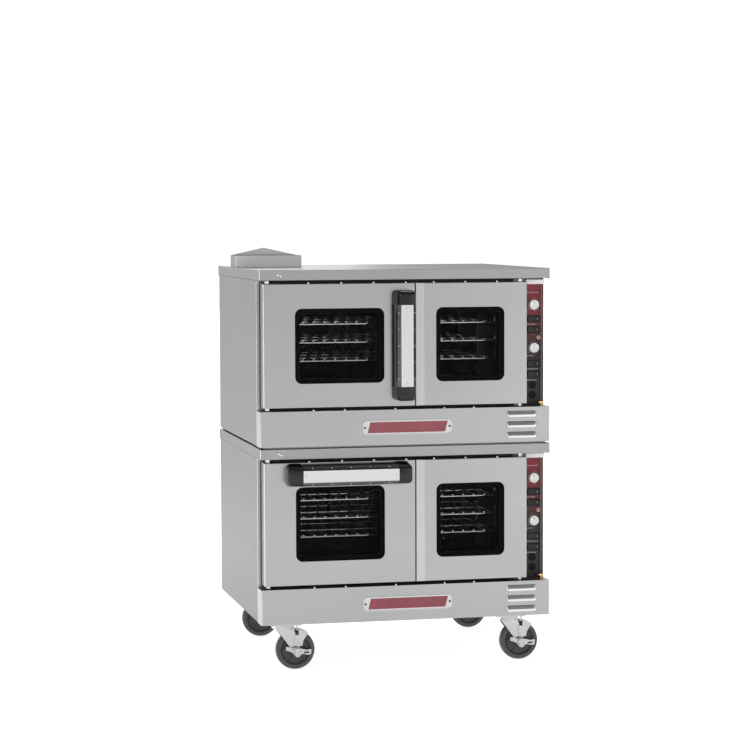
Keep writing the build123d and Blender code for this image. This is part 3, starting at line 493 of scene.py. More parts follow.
def control_plate():
    """Printed plate: maroon at the top that fades to near black, under a light bracket."""
    material, nodes, links = new_material("control_plate")
    shader = nodes["Principled BSDF"]
    shader.inputs["Roughness"].default_value = 0.32
    shader.inputs["Specular IOR Level"].default_value = 0.25
    coordinates = nodes.new("ShaderNodeTexCoord")
    axes = nodes.new("ShaderNodeSeparateXYZ")
    links.new(coordinates.outputs["Object"], axes.inputs["Vector"])
    above = nodes.new("ShaderNodeMath")
    above.operation = "SUBTRACT"
    above.inputs[1].default_value = DECKS["lower"]
    links.new(axes.outputs["Z"], above.inputs[0])
    local = nodes.new("ShaderNodeMath")
    local.operation = "MODULO"
    local.inputs[1].default_value = PITCH
    links.new(above.outputs["Value"], local.inputs[0])
    share = nodes.new("ShaderNodeMapRange")
    share.inputs["From Min"].default_value = PANEL_TOP * MM
    share.inputs["From Max"].default_value = FASCIA_BOTTOM * MM
    links.new(local.outputs["Value"], share.inputs["Value"])
    stops = [
        (0.0, (0.030, 0.024, 0.023)),
        (0.46, (0.032, 0.022, 0.022)),
        (0.62, (0.15, 0.022, 0.03)),
        (0.8, (0.21, 0.03, 0.04)),
        (0.945, (0.24, 0.03, 0.042)),
        (0.952, (0.80, 0.80, 0.79)),
    ]
    colour = ramp(nodes, links, share.outputs["Result"], stops)
    fine = noise(nodes, links, (300, 300, 300))
    speckle = ramp(nodes, links, fine, [(0.3, (0.86,) * 3), (0.7, (1.0,) * 3)])
    links.new(multiply(nodes, links, colour, speckle), shader.inputs["Base Color"])
    links.new(spread(nodes, links, fine, 0.26, 0.38), shader.inputs["Roughness"])
    return material


STEELS = {                       # metals with a brushed grain
    "stainless_body": dict(level=0.315, roughness=0.40, rim=0.76),
    "stainless_panel": dict(level=0.35, roughness=0.28, contrast=0.015),
    "stainless_door": dict(level=0.345, roughness=0.24),
    "stainless_handle": dict(level=0.54, roughness=0.26, contrast=0.01, grain=(500, 500, 500)),
    "door_liner_enamel": dict(level=0.30, roughness=0.42, contrast=0.08),
    "blower_steel": dict(level=0.10, roughness=0.5, contrast=0.12),
    "burner_steel": dict(level=0.36, roughness=0.5, tint=(1.0, 0.94, 0.88), contrast=0.15),
    "louvre_steel": dict(level=0.60, roughness=0.2),
    # lighter steel that paints light onto the flue box's front and gable
    "flue_painted_light_steel": dict(level=0.66, roughness=0.5),
    # painted highlights: beads of bright steel on folds and edges
    "painted_highlight_steel": dict(level=0.86, roughness=0.22),
    # painted lighter bands on the flange and on the right door's bevel
    "painted_light_band_steel": dict(level=0.43, roughness=0.24),
    "badge_silver": dict(level=0.50, roughness=0.25),
}
FINISHES = {                     # every other finish
    "tinted_glass": dict(
        colour=(0.012, 0.012, 0.014), roughness=0.04, grain=(7, 7, 7), contrast=0.3, roughness_span=0.015,
        bump=0.02, bump_height=0.2, Alpha=0.09, Specular_IOR_Level=0.05,
    ),
    "black_phenolic": dict(
        colour=(0.004, 0.004, 0.0045), roughness=0.07, grain=(180, 180, 180), contrast=0.3,
        roughness_span=0.02, bump=0.03, Specular_IOR_Level=0.36,
    ),
    "grip_metal": dict(
        colour=(0.11, 0.11, 0.112), metallic=1.0, roughness=0.16, grain=(400, 400, 400), contrast=0.04,
        roughness_span=0.04,
    ),
    # painted shade deep in the gaps round the doors
    "gap_shade_grey": dict(colour=(0.030, 0.030, 0.031), roughness=0.55, grain=(260, 260, 260), contrast=0.3),
    "frit_black": dict(
        colour=(0.002, 0.002, 0.002), grain=(300, 300, 300), contrast=0.3, Specular_IOR_Level=0.04,
    ),
    "rack_chrome": dict(
        colour=(0.93, 0.93, 0.92), metallic=1.0, roughness=0.07, grain=(120, 120, 120), roughness_span=0.03,
    ),
    "knob_white": dict(
        colour=(0.80, 0.79, 0.77), roughness=0.35, grain=(160, 160, 160), contrast=0.04,
        clouds=(90, 90, 90), cloud_contrast=0.06,
    ),
    "switch_black": dict(
        colour=(0.010, 0.010, 0.011), roughness=0.3, grain=(500, 500, 500), contrast=0.3,
        roughness_span=0.08, Specular_IOR_Level=0.3,
    ),
    "zinc_plate": dict(
        colour=(0.47, 0.48, 0.49), metallic=1.0, roughness=0.28, grain=(90, 90, 90), contrast=0.07,
        roughness_span=0.1, bump=0.15, clouds=(35, 35, 35), cloud_contrast=0.06,
    ),
    "wheel_rubber": dict(
        colour=(0.056, 0.056, 0.058), roughness=0.42, grain=(250, 250, 250), contrast=0.25,
        roughness_span=0.1, bump=0.25, bump_height=0.12, clouds=(18, 18, 18), cloud_contrast=0.25,
    ),
    "wheel_disc": dict(
        colour=(0.030, 0.030, 0.032), roughness=0.42, grain=(160, 160, 160), contrast=0.2, bump=0.2,
    ),
    "pin_steel": dict(colour=(0.60, 0.60, 0.59), metallic=1.0, roughness=0.2, grain=(50, 50, 900)),
    "cavity_enamel": dict(
        colour=(0.006, 0.006, 0.007), roughness=0.4, grain=(700, 700, 700), contrast=0.5,
        roughness_span=0.1, bump=0.2, Specular_IOR_Level=0.2,
    ),
    "mineral_wool": dict(
        colour=(0.52, 0.47, 0.30), roughness=0.9, grain=(220, 40, 500), contrast=0.25, bump=0.7,
        bump_height=1.5,
    ),
    "motor_cast": dict(
        colour=(0.16, 0.17, 0.18), metallic=0.6, grain=(350, 350, 350), contrast=0.2, bump=0.4,
        bump_height=0.3,
    ),
    "pipe_black": dict(
        colour=(0.035, 0.034, 0.033), metallic=0.4, grain=(260, 260, 260), contrast=0.3, bump=0.3,
        bump_height=0.2,
    ),
    "print_dark": dict(colour=(0.10, 0.10, 0.10), grain=(400, 400, 400)),
    "print_grey": dict(colour=(0.42, 0.38, 0.38), grain=(400, 400, 400)),
    "badge_red": dict(
        colour=(0.25, 0.045, 0.062), roughness=0.35, grain=(200, 200, 200), contrast=0.1,
        clouds=(12, 12, 12), cloud_contrast=0.15,
    ),
    "lamp_orange": dict(colour=(0.85, 0.14, 0.03), roughness=0.15, grain=(900, 900, 900), contrast=0.12),
    "brass": dict(
        colour=(0.80, 0.52, 0.20), metallic=1.0, roughness=0.28, grain=(150, 150, 900), contrast=0.1,
    ),
    "gasket": dict(
        colour=(0.10, 0.10, 0.10), roughness=0.75, grain=(900, 900, 900), contrast=0.35, bump=0.6,
        bump_height=0.3,
    ),
    # black rubber, also used for the painted shadow under the cover's hem
    "rubber_and_painted_shadow": dict(
        colour=(0.006, 0.006, 0.006), grain=(300, 300, 300), contrast=0.25, Specular_IOR_Level=0.15,
    ),
    "screw_steel": dict(
        colour=(0.84, 0.84, 0.84), metallic=1.0, roughness=0.2, grain=(400, 400, 400), contrast=0.1,
    ),
    "shadow_black": dict(colour=(0.02, 0.02, 0.02), roughness=0.8, grain=(300, 300, 300), contrast=0.3),
}


def make_materials():
    """Every finish, by the name of its slot or its use."""
    steels = {name: brushed_steel(name, **look) for name, look in STEELS.items()}
    others = {name: surface(name, **look) for name, look in FINISHES.items()}
    return {**steels, **others, "control_plate": control_plate()}


MATERIALS = make_materials()


def finish_nodes():
    """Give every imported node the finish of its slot, and round the edges that catch the light."""
    slots = {row["node"]: row["material_slot"] for row in frame["record"]["subparts"]}
    for name, node in frame["nodes"].items():
        node.data.materials.clear()
        node.data.materials.append(MATERIALS[slots[name]])
        for part, width in EDGE_ROUNDING.items():
            if part in name:
                node.modifiers.new("joined_facets", "WELD").merge_threshold = 0.01 * MM
                round_edges(node, width, sharp=40.0)


# ================================================================ doors
def door_gasket(deck, base):
    """Woven seal round the oven's mouth, squeezed between the face frame and the doors."""
    bm = bmesh.new()
    half = GASKET["half_width"]
    xs, zs = (grown(MOUTH[axis], GASKET["inset"]) for axis in ("x", "z"))
    outer = rounded(grown(xs, half), grown(zs, half), GASKET["outer_radius"])
    inner = rounded(grown(xs, -half), grown(zs, -half), GASKET["inner_radius"])
    add_frame(bm, outer, inner, DOOR_BACK + 0.4, FACE_FRAME)
    piece(f"{deck}_door_gasket", bm, "gasket", base=base, bevel=3)


def window_seals(body, xs, zs, base):
    """Black frame behind a door's outer pane, the walls of the window tunnel, and a lip in the skin."""
    bm = bmesh.new()
    radius, reach, lip = WINDOW["radius"], WINDOW["step_reach"], WINDOW["lip"]
    hole_x, hole_z = grown(xs, -TUNNEL["step"]), grown(zs, -TUNNEL["step"])
    hole = rounded(grown(hole_x, -TUNNEL["seal"]), grown(hole_z, -TUNNEL["seal"]), TUNNEL["radius"])
    wall = rounded(grown(hole_x, -0.1), grown(hole_z, -0.1), TUNNEL["radius"])
    front = TUNNEL["front"]
    pane_front, pane_back = TUNNEL["inner_pane"]
    add_frame(bm, rounded(grown(xs, reach), grown(zs, reach), radius), hole, front - 1, front)
    add_frame(bm, wall, hole, front - 0.5, pane_front - 0.2)
    add_frame(bm, wall, hole, pane_back + 0.2, DOOR_BACK - 0.3)
    inside_lip = rounded(grown(xs, -lip), grown(zs, -lip), radius - 1)
    add_frame(bm, rounded(xs, zs, radius), inside_lip, *WINDOW["lip_depths"])
    piece(f"{body}_window_seals", bm, "frit_black", body, base)


def door_details(deck, side, base):
    """A door's window seals, the screws in its top, and the bead and screws of its inner face."""
    body = f"{deck}_{side}_door"
    low, high = (in_mm(corner, base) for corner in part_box(f"{body}_glass"))
    xs, zs = (grown(span, -WINDOW["overlap"]) for span in ((low.x, high.x), (low.z, high.z)))
    window_seals(body, xs, zs, base)
    top_screws = bmesh.new()
    for x in DOOR_TOP_SCREWS[side]:
        add_lathe(top_screws, PIN_SCREW, (x, DOOR_TOP_SCREWS["depth"], DOOR_TOP), "Z", 12)
    piece(f"{body}_top_screws", top_screws, "screw_steel", body, base)
    bead = bmesh.new()
    outer, inner = (
        rounded(grown(xs, away), grown(zs, away), radius)
        for away, radius in (LINER_BEAD["outer"], LINER_BEAD["inner"])
    )
    add_frame(bead, outer, inner, DOOR_BACK - 0.2, DOOR_BACK + 1.6)
    piece(f"{body}_liner_bead", bead, "door_liner_enamel", body, base, bevel=1)
    low, high = (in_mm(corner, base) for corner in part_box(f"{body}_liner"))
    inset_x, inset_z = LINER_SCREWS["inset"]
    columns = (low.x + inset_x, (low.x + high.x) / 2, high.x - inset_x)
    centres = [(x, DOOR_BACK, z) for x in columns for z in (low.z + inset_z, high.z - inset_z)]
    screws(f"{body}_liner_screws", centres, LINER_SCREWS["radius"], 1, body, base)


def seam_strip(deck, base):
    """Dark seal strip in the seam, fixed to the left door's edge."""
    low, high = (in_mm(corner, base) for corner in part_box(f"{deck}_left_door_skin"))
    xs = [high.x + x for x in SEAM_STRIP["x"]]
    zs = grown((low.z, high.z), -SEAM_STRIP["short"])
    outline = rounded(xs, zs, 0.9, steps=2)
    bar(f"{deck}_seam_strip", outline, *SEAM_STRIP["depths"], "rubber_and_painted_shadow", f"{deck}_left_door", base)


def painted_edge_light(deck, base):
    """Painted highlights in bright steel along the sheet metal's folds and the left door's edge, painted
    lighter bands on the flange and the right door's bevel, and a black bar that paints the shadow under the
    cover's hem.
    """
    edges = [
        [(side * x, depth, low), (side * x, depth, high)]
        for side in (-1, 1)
        for x, depth, low, high in PAINTED_FOLD_HIGHLIGHTS
    ]
    # painted highlights: bright steel beads along the folds
    tube(f"{deck}_painted_fold_highlights", edges, 0.9, "painted_highlight_steel", base=base)
    # painted lighter band on the flange
    outline = rounded(FLANGE_LIGHT_BAND["x"], (PANEL_TOP + 2, FASCIA_BOTTOM - 2), 0.8, steps=2)
    bar(f"{deck}_flange_light_band", outline, *FLANGE_LIGHT_BAND["depths"], "painted_light_band_steel", base=base)
    # painted highlight along the left door's folded edge
    x, depth = LEFT_DOOR_HIGHLIGHT["x"], LEFT_DOOR_HIGHLIGHT["depth"]
    fold = [[(x, depth, z) for z in (DOOR_BOTTOM + 1.5, DOOR_TOP - 1.5)]]
    tube(f"{deck}_left_door_highlight", fold, 1.0, "painted_highlight_steel", f"{deck}_left_door", base)
    # black bar that paints the shadow under the cover's hem
    height = FASCIA_BOTTOM - HEM["below"]
    hems = [[(side * HEM["half_width"], depth, height) for depth in HEM["depths"]] for side in (-1, 1)]
    tube(f"{deck}_cover_hem_shadow", hems, 0.7, "rubber_and_painted_shadow", base=base)
    # the right door's bevel, its lighter steel a painted lighter band
    body = f"{deck}_right_door"
    bar(f"{body}_bevel", DOOR_BEVEL_LIGHT_BAND, DOOR_BOTTOM + 1, DOOR_TOP - 1.5, "painted_light_band_steel", body, base, "Z")


def along_handle(node, base):
    """How to place a point across, deep and along a handle's node, its half length and its front's depth."""
    low, high = (in_mm(corner, base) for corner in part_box(node))
    c = (low + high) / 2
    upright = high.z - low.z > high.x - low.x

    def at(across, depth, along):
        return (c.x + across, depth, c.z + along) if upright else (c.x + along, depth, c.z + across)

    return at, (high.z - low.z if upright else high.x - low.x) / 2, low.y


def cap_outline(half_width, inner, outer, radius):
    """Outline of an end cap seen from the front: square where it meets the face plate, round at its end."""
    points = [(-half_width, inner), (half_width, inner)]
    end = math.copysign(1, outer - inner)
    for centre, start in ((half_width - radius, 0), (radius - half_width, 90)):
        for k in range(CAP_STEPS + 1):
            angle = math.radians(start + 90 * k / CAP_STEPS)
            points.append((centre + radius * math.cos(angle), outer + end * radius * (math.sin(angle) - 1)))
    return points


def handle_grip(deck, base):
    """Grip with two moulded end caps and a polished sleeve between them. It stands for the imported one."""
    node, body = f"{deck}_handle_grip", f"{deck}_left_door"
    at, half, _ = along_handle(node, base)
    caps = bmesh.new()
    for end in (-1, 1):
        rings = []
        for depth, width, drawn_in, radius in CAP_LAYERS:
            outline = cap_outline(width, end * (half - CAP_LENGTH), end * (half - drawn_in), radius)
            rings.append([caps.verts.new(at(u, depth, along)) for u, along in outline])
        close_rings(caps, rings)
    moulding = piece(f"{node}_moulding", caps, "black_phenolic", body, base, sharp=40)
    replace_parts(moulding, node)
    sleeve = bmesh.new()
    section = [*GRIP_SECTION, *((-u, depth) for u, depth in reversed(GRIP_SECTION))]
    inner = half - CAP_LENGTH + 1
    rings = [[sleeve.verts.new(at(*point, along)) for point in section] for along in (-inner, inner)]
    close_rings(sleeve, rings)
    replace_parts(piece(f"{deck}_grip_sleeve", sleeve, "grip_metal", body, base, sharp=25), node)


def handle_details(deck, base):
    """Rivets along the shoulders of the grip, the face plate's screws, and painted highlight beads along its
    long edges.
    """
    body = f"{deck}_left_door"
    at, half, front = along_handle(f"{deck}_handle_face_plate", base)
    rivets = bmesh.new()
    for k in range(RIVETS["count"]):
        along = half * ((2 * k + 1) / RIVETS["count"] - 1)
        for across in (-RIVETS["across"], RIVETS["across"]):
            add_lathe(rivets, RIVET, at(across, RIVETS["depth"], along), steps=12)
    piece(f"{deck}_grip_rivets", rivets, "screw_steel", body, base)
    centres = [at(0, front, end * (half - PLATE_SCREWS["inset"])) for end in (-1, 1)]
    screws(f"{deck}_face_plate_screws", centres, PLATE_SCREWS["radius"], -1, body, base, "stainless_handle")
    # painted highlights: bright steel beads along the face plate's long edges
    edges = [
        [at(across, front + 0.4, along) for along in (1 - half, half - 1)]
        for across in (-PLATE_EDGE, PLATE_EDGE)
    ]
    tube(f"{deck}_face_plate_highlights", edges, 1.0, "painted_highlight_steel", body, base)


# ================================================================ controls
def switch_details(deck, base):
    """A raised bezel round each rocker, and a light mark on one end of the rocker."""
    bm = bmesh.new()
    for name in SWITCHES:
        c = middle(f"{deck}_{name}_switch", base)
        outer, inner = (
            rounded(around(c.x, width), around(c.z, height), radius)
            for width, height, radius in (SWITCH_BEZEL["outer"], SWITCH_BEZEL["inner"])
        )
        add_frame(bm, outer, inner, CONTROL_FACE - SWITCH_BEZEL["proud"], CONTROL_FACE)
        node = f"{deck}_{name}_switch"
        face = in_mm(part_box(node)[0], base).y
        width, height = SWITCH_MARK["size"]
        outline = rounded(around(c.x + SWITCH_MARK["x"], width), around(c.z, height), 0.7, steps=2)
        bar(f"{node}_mark", outline, face + 0.2, face + 1.4, "print_grey", node, base)
    piece(f"{deck}_switch_bezels", bm, "switch_black", base=base, bevel=0.8)


def knob(deck, name, base):
    """Fluted knob with a dished face and a pointer line. It stands for the plain packed one."""
    node = f"{deck}_{name}_knob"
    low, high = (in_mm(corner, base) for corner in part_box(node))
    c = (low + high) / 2
    radius = (high.x - low.x) / 2
    foot = CONTROL_FACE - 1
    reach = foot - low.y
    bm = bmesh.new()
    rings = []
    steps = 4 * KNOB_FLUTES["count"]
    begin, stop = KNOB_FLUTES["between"]
    for share, along in KNOB_PROFILE:
        fluted = KNOB_FLUTES["depth"] if begin < along < stop else 0.0
        ring = []
        for k in range(steps):
            angle = 2 * math.pi * k / steps
            r = radius * (share - fluted * max(0.0, math.cos(KNOB_FLUTES["count"] * angle)))
            point = (c.x + r * math.cos(angle), foot - along * reach, c.z + r * math.sin(angle))
            ring.append(bm.verts.new(point))
        rings.append(ring)
    close_rings(bm, rings)
    add_prism(bm, circle(c.x, c.z, 4.0), foot - 1, high.y)
    made = piece(f"{node}_body", bm, "knob_white", node, base, sharp=50)
    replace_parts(made, node)
    face = foot - KNOB_PROFILE[-1][1] * reach
    outline = rounded(around(c.x, 1.5), (c.z + 3, c.z + radius * 0.74), 0.6, steps=2)
    bar(f"{node}_pointer", outline, face - 0.3, face + 1, "print_dark", node, base)


def printed_scales(deck, base):
    """Ticks round the knobs, every fifth one longer, and short dashes in place of labels."""
    bm = bmesh.new()
    depths = (CONTROL_FACE - 0.25, CONTROL_FACE + 0.5)
    for name, ticks in KNOBS.items():
        c = middle(f"{deck}_{name}_knob", base)
        for k in range(ticks):
            angle = math.radians(225 - 300 * k / (ticks - 1))
            out = Vector((math.cos(angle), math.sin(angle)))
            length, half_width = ("long", 0.9) if k % 5 == 0 else ("short", 0.6)
            side = Vector((-out.y, out.x)) * half_width
            near, far = (Vector((c.x, c.z)) + out * TICKS[distance] for distance in ("from", length))
            add_prism(bm, [near - side, far - side, far + side, near + side], *depths)
    for row, height in enumerate(LABEL_HEIGHTS):
        x = LABEL_X
        for k in range(len(LABEL_DASHES) - row % 3):
            length = LABEL_DASHES[(k + row) % len(LABEL_DASHES)]
            add_prism(bm, rect((x, x + length), around(height, 2.2)), *depths)
            x += length + 1.6
    piece(f"{deck}_printed_scales", bm, "print_grey", base=base)


def panel_fittings(deck, base):
    """Pilot lamp, the two round discs, the thumbscrew, and the control recess's side wall and trims."""
    x, z = PILOT
    lens, ring = bmesh.new(), bmesh.new()
    add_lathe(lens, PILOT_LENS, (x, CONTROL_FACE, z), steps=24)
    piece(f"{deck}_pilot_lamp", lens, "lamp_orange", base=base, sharp=60)
    add_frame(ring, circle(x, z, 6.0), circle(x, z, 4.5), CONTROL_FACE - 1.2, CONTROL_FACE + 0.5)
    piece(f"{deck}_pilot_ring", ring, "pin_steel", base=base, bevel=0.4)
    discs = bmesh.new()
    for height in DISC_HEIGHTS:
        add_lathe(discs, DISC_PROFILE, (DISC_X, CONTROL_FACE, height), steps=40)
    piece(f"{deck}_buzzer_and_plug", discs, "rubber_and_painted_shadow", base=base)
    screw = bmesh.new()
    x, depth = THUMBSCREW["x"], THUMBSCREW["depth"]
    add_lathe(screw, THUMBSCREW_STEM, (x, depth, PANEL_TOP), "Z", 20)
    wing = rounded(around(x, THUMBSCREW["wing"]), (PANEL_TOP + 7.5, PANEL_TOP + 13.5), 2.4)
    add_prism(screw, wing, *around(depth, 3.6))
    piece(f"{deck}_thumbscrew", screw, "brass", base=base, bevel=0.5)
    outline = rect(CONTROL_WALL["x"], (CONTROL_WALL["front"], CONTROL_FACE))
    wall = f"{deck}_control_side_wall"
    bar(wall, outline, PANEL_TOP + 1, CONTROL_TOP, "control_plate", base=base, axis="Z")
    trims = [[(x, depth, PANEL_TOP + 1), (x, depth, top)] for x, depth, top in CONTROL_TRIMS]
    tube(f"{deck}_control_edge_trims", trims, 1.1, "pin_steel", base=base)


# ================================================================ front panel and fascia
def badge(deck, base):
    """Plain badge: a silver plate with rounded ends, a slanted red field and two screws."""
    plate = bmesh.new()
    xs, zs, radius = BADGE["x"], BADGE["z"], BADGE["radius"]
    outline = rounded(xs, zs, radius)
    add_prism(plate, outline, -1.8, 0.4)
    add_frame(plate, outline, rounded(grown(xs, -2), grown(zs, -2), radius - 2), -2.6, -1.7)
    piece(f"{deck}_badge_plate", plate, "badge_silver", base=base, bevel=0.5)
    (x0, x1), (z0, z1), slant = BADGE_FIELD["x"], BADGE_FIELD["z"], BADGE_FIELD["slant"]
    outline = [(x0, z0), (x1 - slant, z0), (x1, z1), (x0 + slant, z1)]
    bar(f"{deck}_badge_field", outline, -2.5, -1.7, "badge_red", base=base, bevel=0.3)
    centres = [(x, -1.8, sum(zs) / 2) for x in grown(xs, -8)]
    screws(f"{deck}_badge_screws", centres, 4.0, -1, base=base, material="badge_red")


def add_louvre(bm, top, depth, out, xs, height, reach, end):
    """Pressed hood with rounded ends: flush at its top, standing proud at its open lower edge."""
    across, down = LOUVRE_GRID
    grid = []
    for i in range(across + 1):
        x = xs[0] + (xs[1] - xs[0]) * (0.5 - 0.5 * math.cos(math.pi * i / across))
        near_end = min(1.0, min(x - xs[0], xs[1] - x) / end)
        swell = math.sqrt(max(0.0, 1 - (1 - near_end) ** 2))
        column = []
        for j in range(down + 1):
            share = j / down
            bulge = min(1.0, share / 0.62) ** 0.85
            z = top - height * (share * swell + (1 - swell) * 0.5)
            column.append(bm.verts.new((x, depth + out * reach * swell * bulge, z)))
        grid.append(column)
    for column, other in zip(grid, grid[1:]):
        for j in range(down):
            bm.faces.new((column[j], other[j], other[j + 1], column[j + 1]))


def louvres(deck, base):
    """Rounded hoods over the front panel's air slots."""
    bm = bmesh.new()
    for top in LOUVRE_TOPS:
        add_louvre(bm, top, 0.0, -1, **LOUVRE)
    thicken(piece(f"{deck}_louvre_hoods", bm, "louvre_steel", base=base, sharp=70), SHEET)


def thicken(made, thickness):
    """Give a sheet its thickness, in millimetres."""
    wall = made.modifiers.new("thickness", "SOLIDIFY")
    wall.thickness = thickness * MM
    wall.offset = 0.0


def gap_screws(deck, base):
    """Screws on top of the front panel, and two in the fascia's left end."""
    bm = bmesh.new()
    for x in PANEL_TOP_SCREWS["x"]:
        add_lathe(bm, PIN_SCREW, (x, PANEL_TOP_SCREWS["depth"], PANEL_TOP), "Z", 12)
    for x, z in FASCIA_SCREWS:
        add_screw(bm, (x, 0, z), 3.6, -1)
    piece(f"{deck}_gap_screws", bm, "screw_steel", base=base)


def gap_shade_strips(deck, base):
    """Dark grey strips that paint the shade deep in the gaps above and below the doors."""
    bm = bmesh.new()
    for zs in ((PANEL_TOP + 1, PANEL_TOP + 10), (DOOR_TOP + 1.5, FASCIA_BOTTOM - 0.5)):
        add_prism(bm, rounded((-440, 374), zs, 2), DOOR_BACK + 2, FACE_FRAME)
    # dark grey strips paint the shade in the gaps
    piece(f"{deck}_gap_shade_strips", bm, "gap_shade_grey", base=base)


def hinge_brackets(deck, base):
    """Bracket plates that carry the hinge pins, with their bolts, in the gaps above and below the doors."""
    plates, bolts = bmesh.new(), bmesh.new()
    middle_depth = sum(HINGE_PLATE["depths"]) / 2
    for pin, inward in ((HINGE_X["left"], 1), (HINGE_X["right"], -1)):
        xs = sorted((pin - inward * HINGE_PLATE["past_pin"], pin + inward * HINGE_PLATE["reach"]))
        for z, out in ((PANEL_TOP, 1), (FASCIA_BOTTOM, -1)):
            outline = rounded(xs, HINGE_PLATE["depths"], 5)
            add_prism(plates, outline, z, z + out * HINGE_PLATE["thickness"], axis="Z")
            profile = [(4.6, 0.0), (4.6, out * 3.0), (3.8, out * 3.6), (0.0, out * 3.6)]
            for step in HINGE_BOLTS:
                add_lathe(bolts, profile, (pin + inward * step, middle_depth, z + out * 2.0), "Z", 6)
    piece(f"{deck}_hinge_brackets", plates, "switch_black", base=base, bevel=0.5)
    piece(f"{deck}_hinge_bolts", bolts, "pipe_black", base=base)


# ================================================================ inside
def fan_guard(deck, base):
    """Wire guard over the blower's intake, and the baffle's corner screws."""
    c = middle(f"{deck}_blower_wheel", base)
    rings = [
        [(c.x + u, FAN_GUARD_DEPTH, c.z + v) for u, v in circle(0, 0, radius, 40)]
        for radius in FAN_GUARD_RADII
    ]
    tube(f"{deck}_fan_guard_rings", rings, 1.8, "cavity_enamel", base=base, closed=True)
    ends = (FAN_GUARD_RADII[0], FAN_GUARD_RADII[-1] + 7)
    spokes = [
        [(c.x + u * r, FAN_GUARD_DEPTH + 3, c.z + v * r) for r in ends]
        for u, v in circle(0, 0, 1, 6)
    ]
    tube(f"{deck}_fan_guard_spokes", spokes, 1.8, "cavity_enamel", base=base)
    centres = [(x, BAFFLE_FACE, z) for x in grown(MOUTH["x"], -50) for z in grown(MOUTH["z"], -30)]
    screws(f"{deck}_baffle_screws", centres, 5, -1, base=base)


# ================================================================ back, top and gas line
def rear_cover(deck, base):
    """Removable cover on the back with two rows of louvres and its screws, and a cable gland beside it."""
    (x0, x1), (z0, z1) = REAR_COVER["x"], REAR_COVER["z"]
    face = BODY_BACK + REAR_COVER["thickness"]
    outline = rounded((x0, x1), (z0, z1), 8)
    bar(f"{deck}_rear_cover", outline, BODY_BACK, face, "stainless_body", base=base, bevel=0.5)
    hoods = bmesh.new()
    for side in (-1, 1):
        xs = around((x0 + x1) / 2 + side * REAR_LOUVRES["column_offset"], REAR_LOUVRES["width"])
        for row in range(REAR_LOUVRES["rows"]):
            top = z1 - REAR_LOUVRES["below"] - row * REAR_LOUVRES["row_pitch"]
            add_louvre(hoods, top, face, 1, xs, **REAR_LOUVRE)
    thicken(piece(f"{deck}_rear_louvres", hoods, "louvre_steel", base=base, sharp=70), SHEET)
    heads = bmesh.new()
    for x in (x0 + 10, (x0 + x1) / 2, x1 - 10):
        for z in (z0 + 10, z1 - 10):
            add_screw(heads, (x, face, z), 4.5, 1)
    for x in REAR_EDGE_SCREWS["x"]:
        for z in REAR_EDGE_SCREWS["z"]:
            add_screw(heads, (x, BODY_BACK, z), 4.0, 1)
    piece(f"{deck}_rear_screws", heads, "screw_steel", base=base)
    gland = bmesh.new()
    add_lathe(gland, [(15, -0.5), (15, 5), (12, 5)], CABLE_GLAND, steps=6)
    add_lathe(gland, [(11.5, 4.5), (11.5, 12), (9, 16), (5, 17), (4.6, 12), (0, 12)], CABLE_GLAND)
    piece(f"{deck}_cable_gland", gland, "switch_black", base=base, bevel=0.4)


def gas_fittings():
    """Cast tees where the branches meet the riser, an end plug, and the pipe collars at the back panel."""
    bm = bmesh.new()
    low, high = (in_mm(corner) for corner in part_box("gas_manifold"))
    x, depth = low.x + RISER["inset"], RISER["depth"]
    r, tee = RISER["radius"], RISER["tee_radius"]
    for base in DECKS.values():
        z = base / MM + RISER["branch_height"]
        for near, far in ((-30, -20), (20, 30)):
            bead = [(r, near), (18, near), (18.6, (near + far) / 2), (18, far), (r, far)]
            add_lathe(bm, bead, (x, depth, z), "Z", 28)
        add_lathe(bm, [(r, -21), (tee, -21), (tee, 21), (r, 21)], (x, depth, z), "Z", 28)
        collar = [(10.8, 0), (17, 0), (17, 8), (10.8, 8)]
        add_lathe(bm, collar, (x, BODY_BACK, z), "Y", 6)
    add_lathe(bm, [(17.0, -5), (17.0, 9), (12, 11), (0, 11)], (x, depth, high.z), "Z", 28)
    piece("gas_fittings", bm, "pipe_black", bevel=0.6)


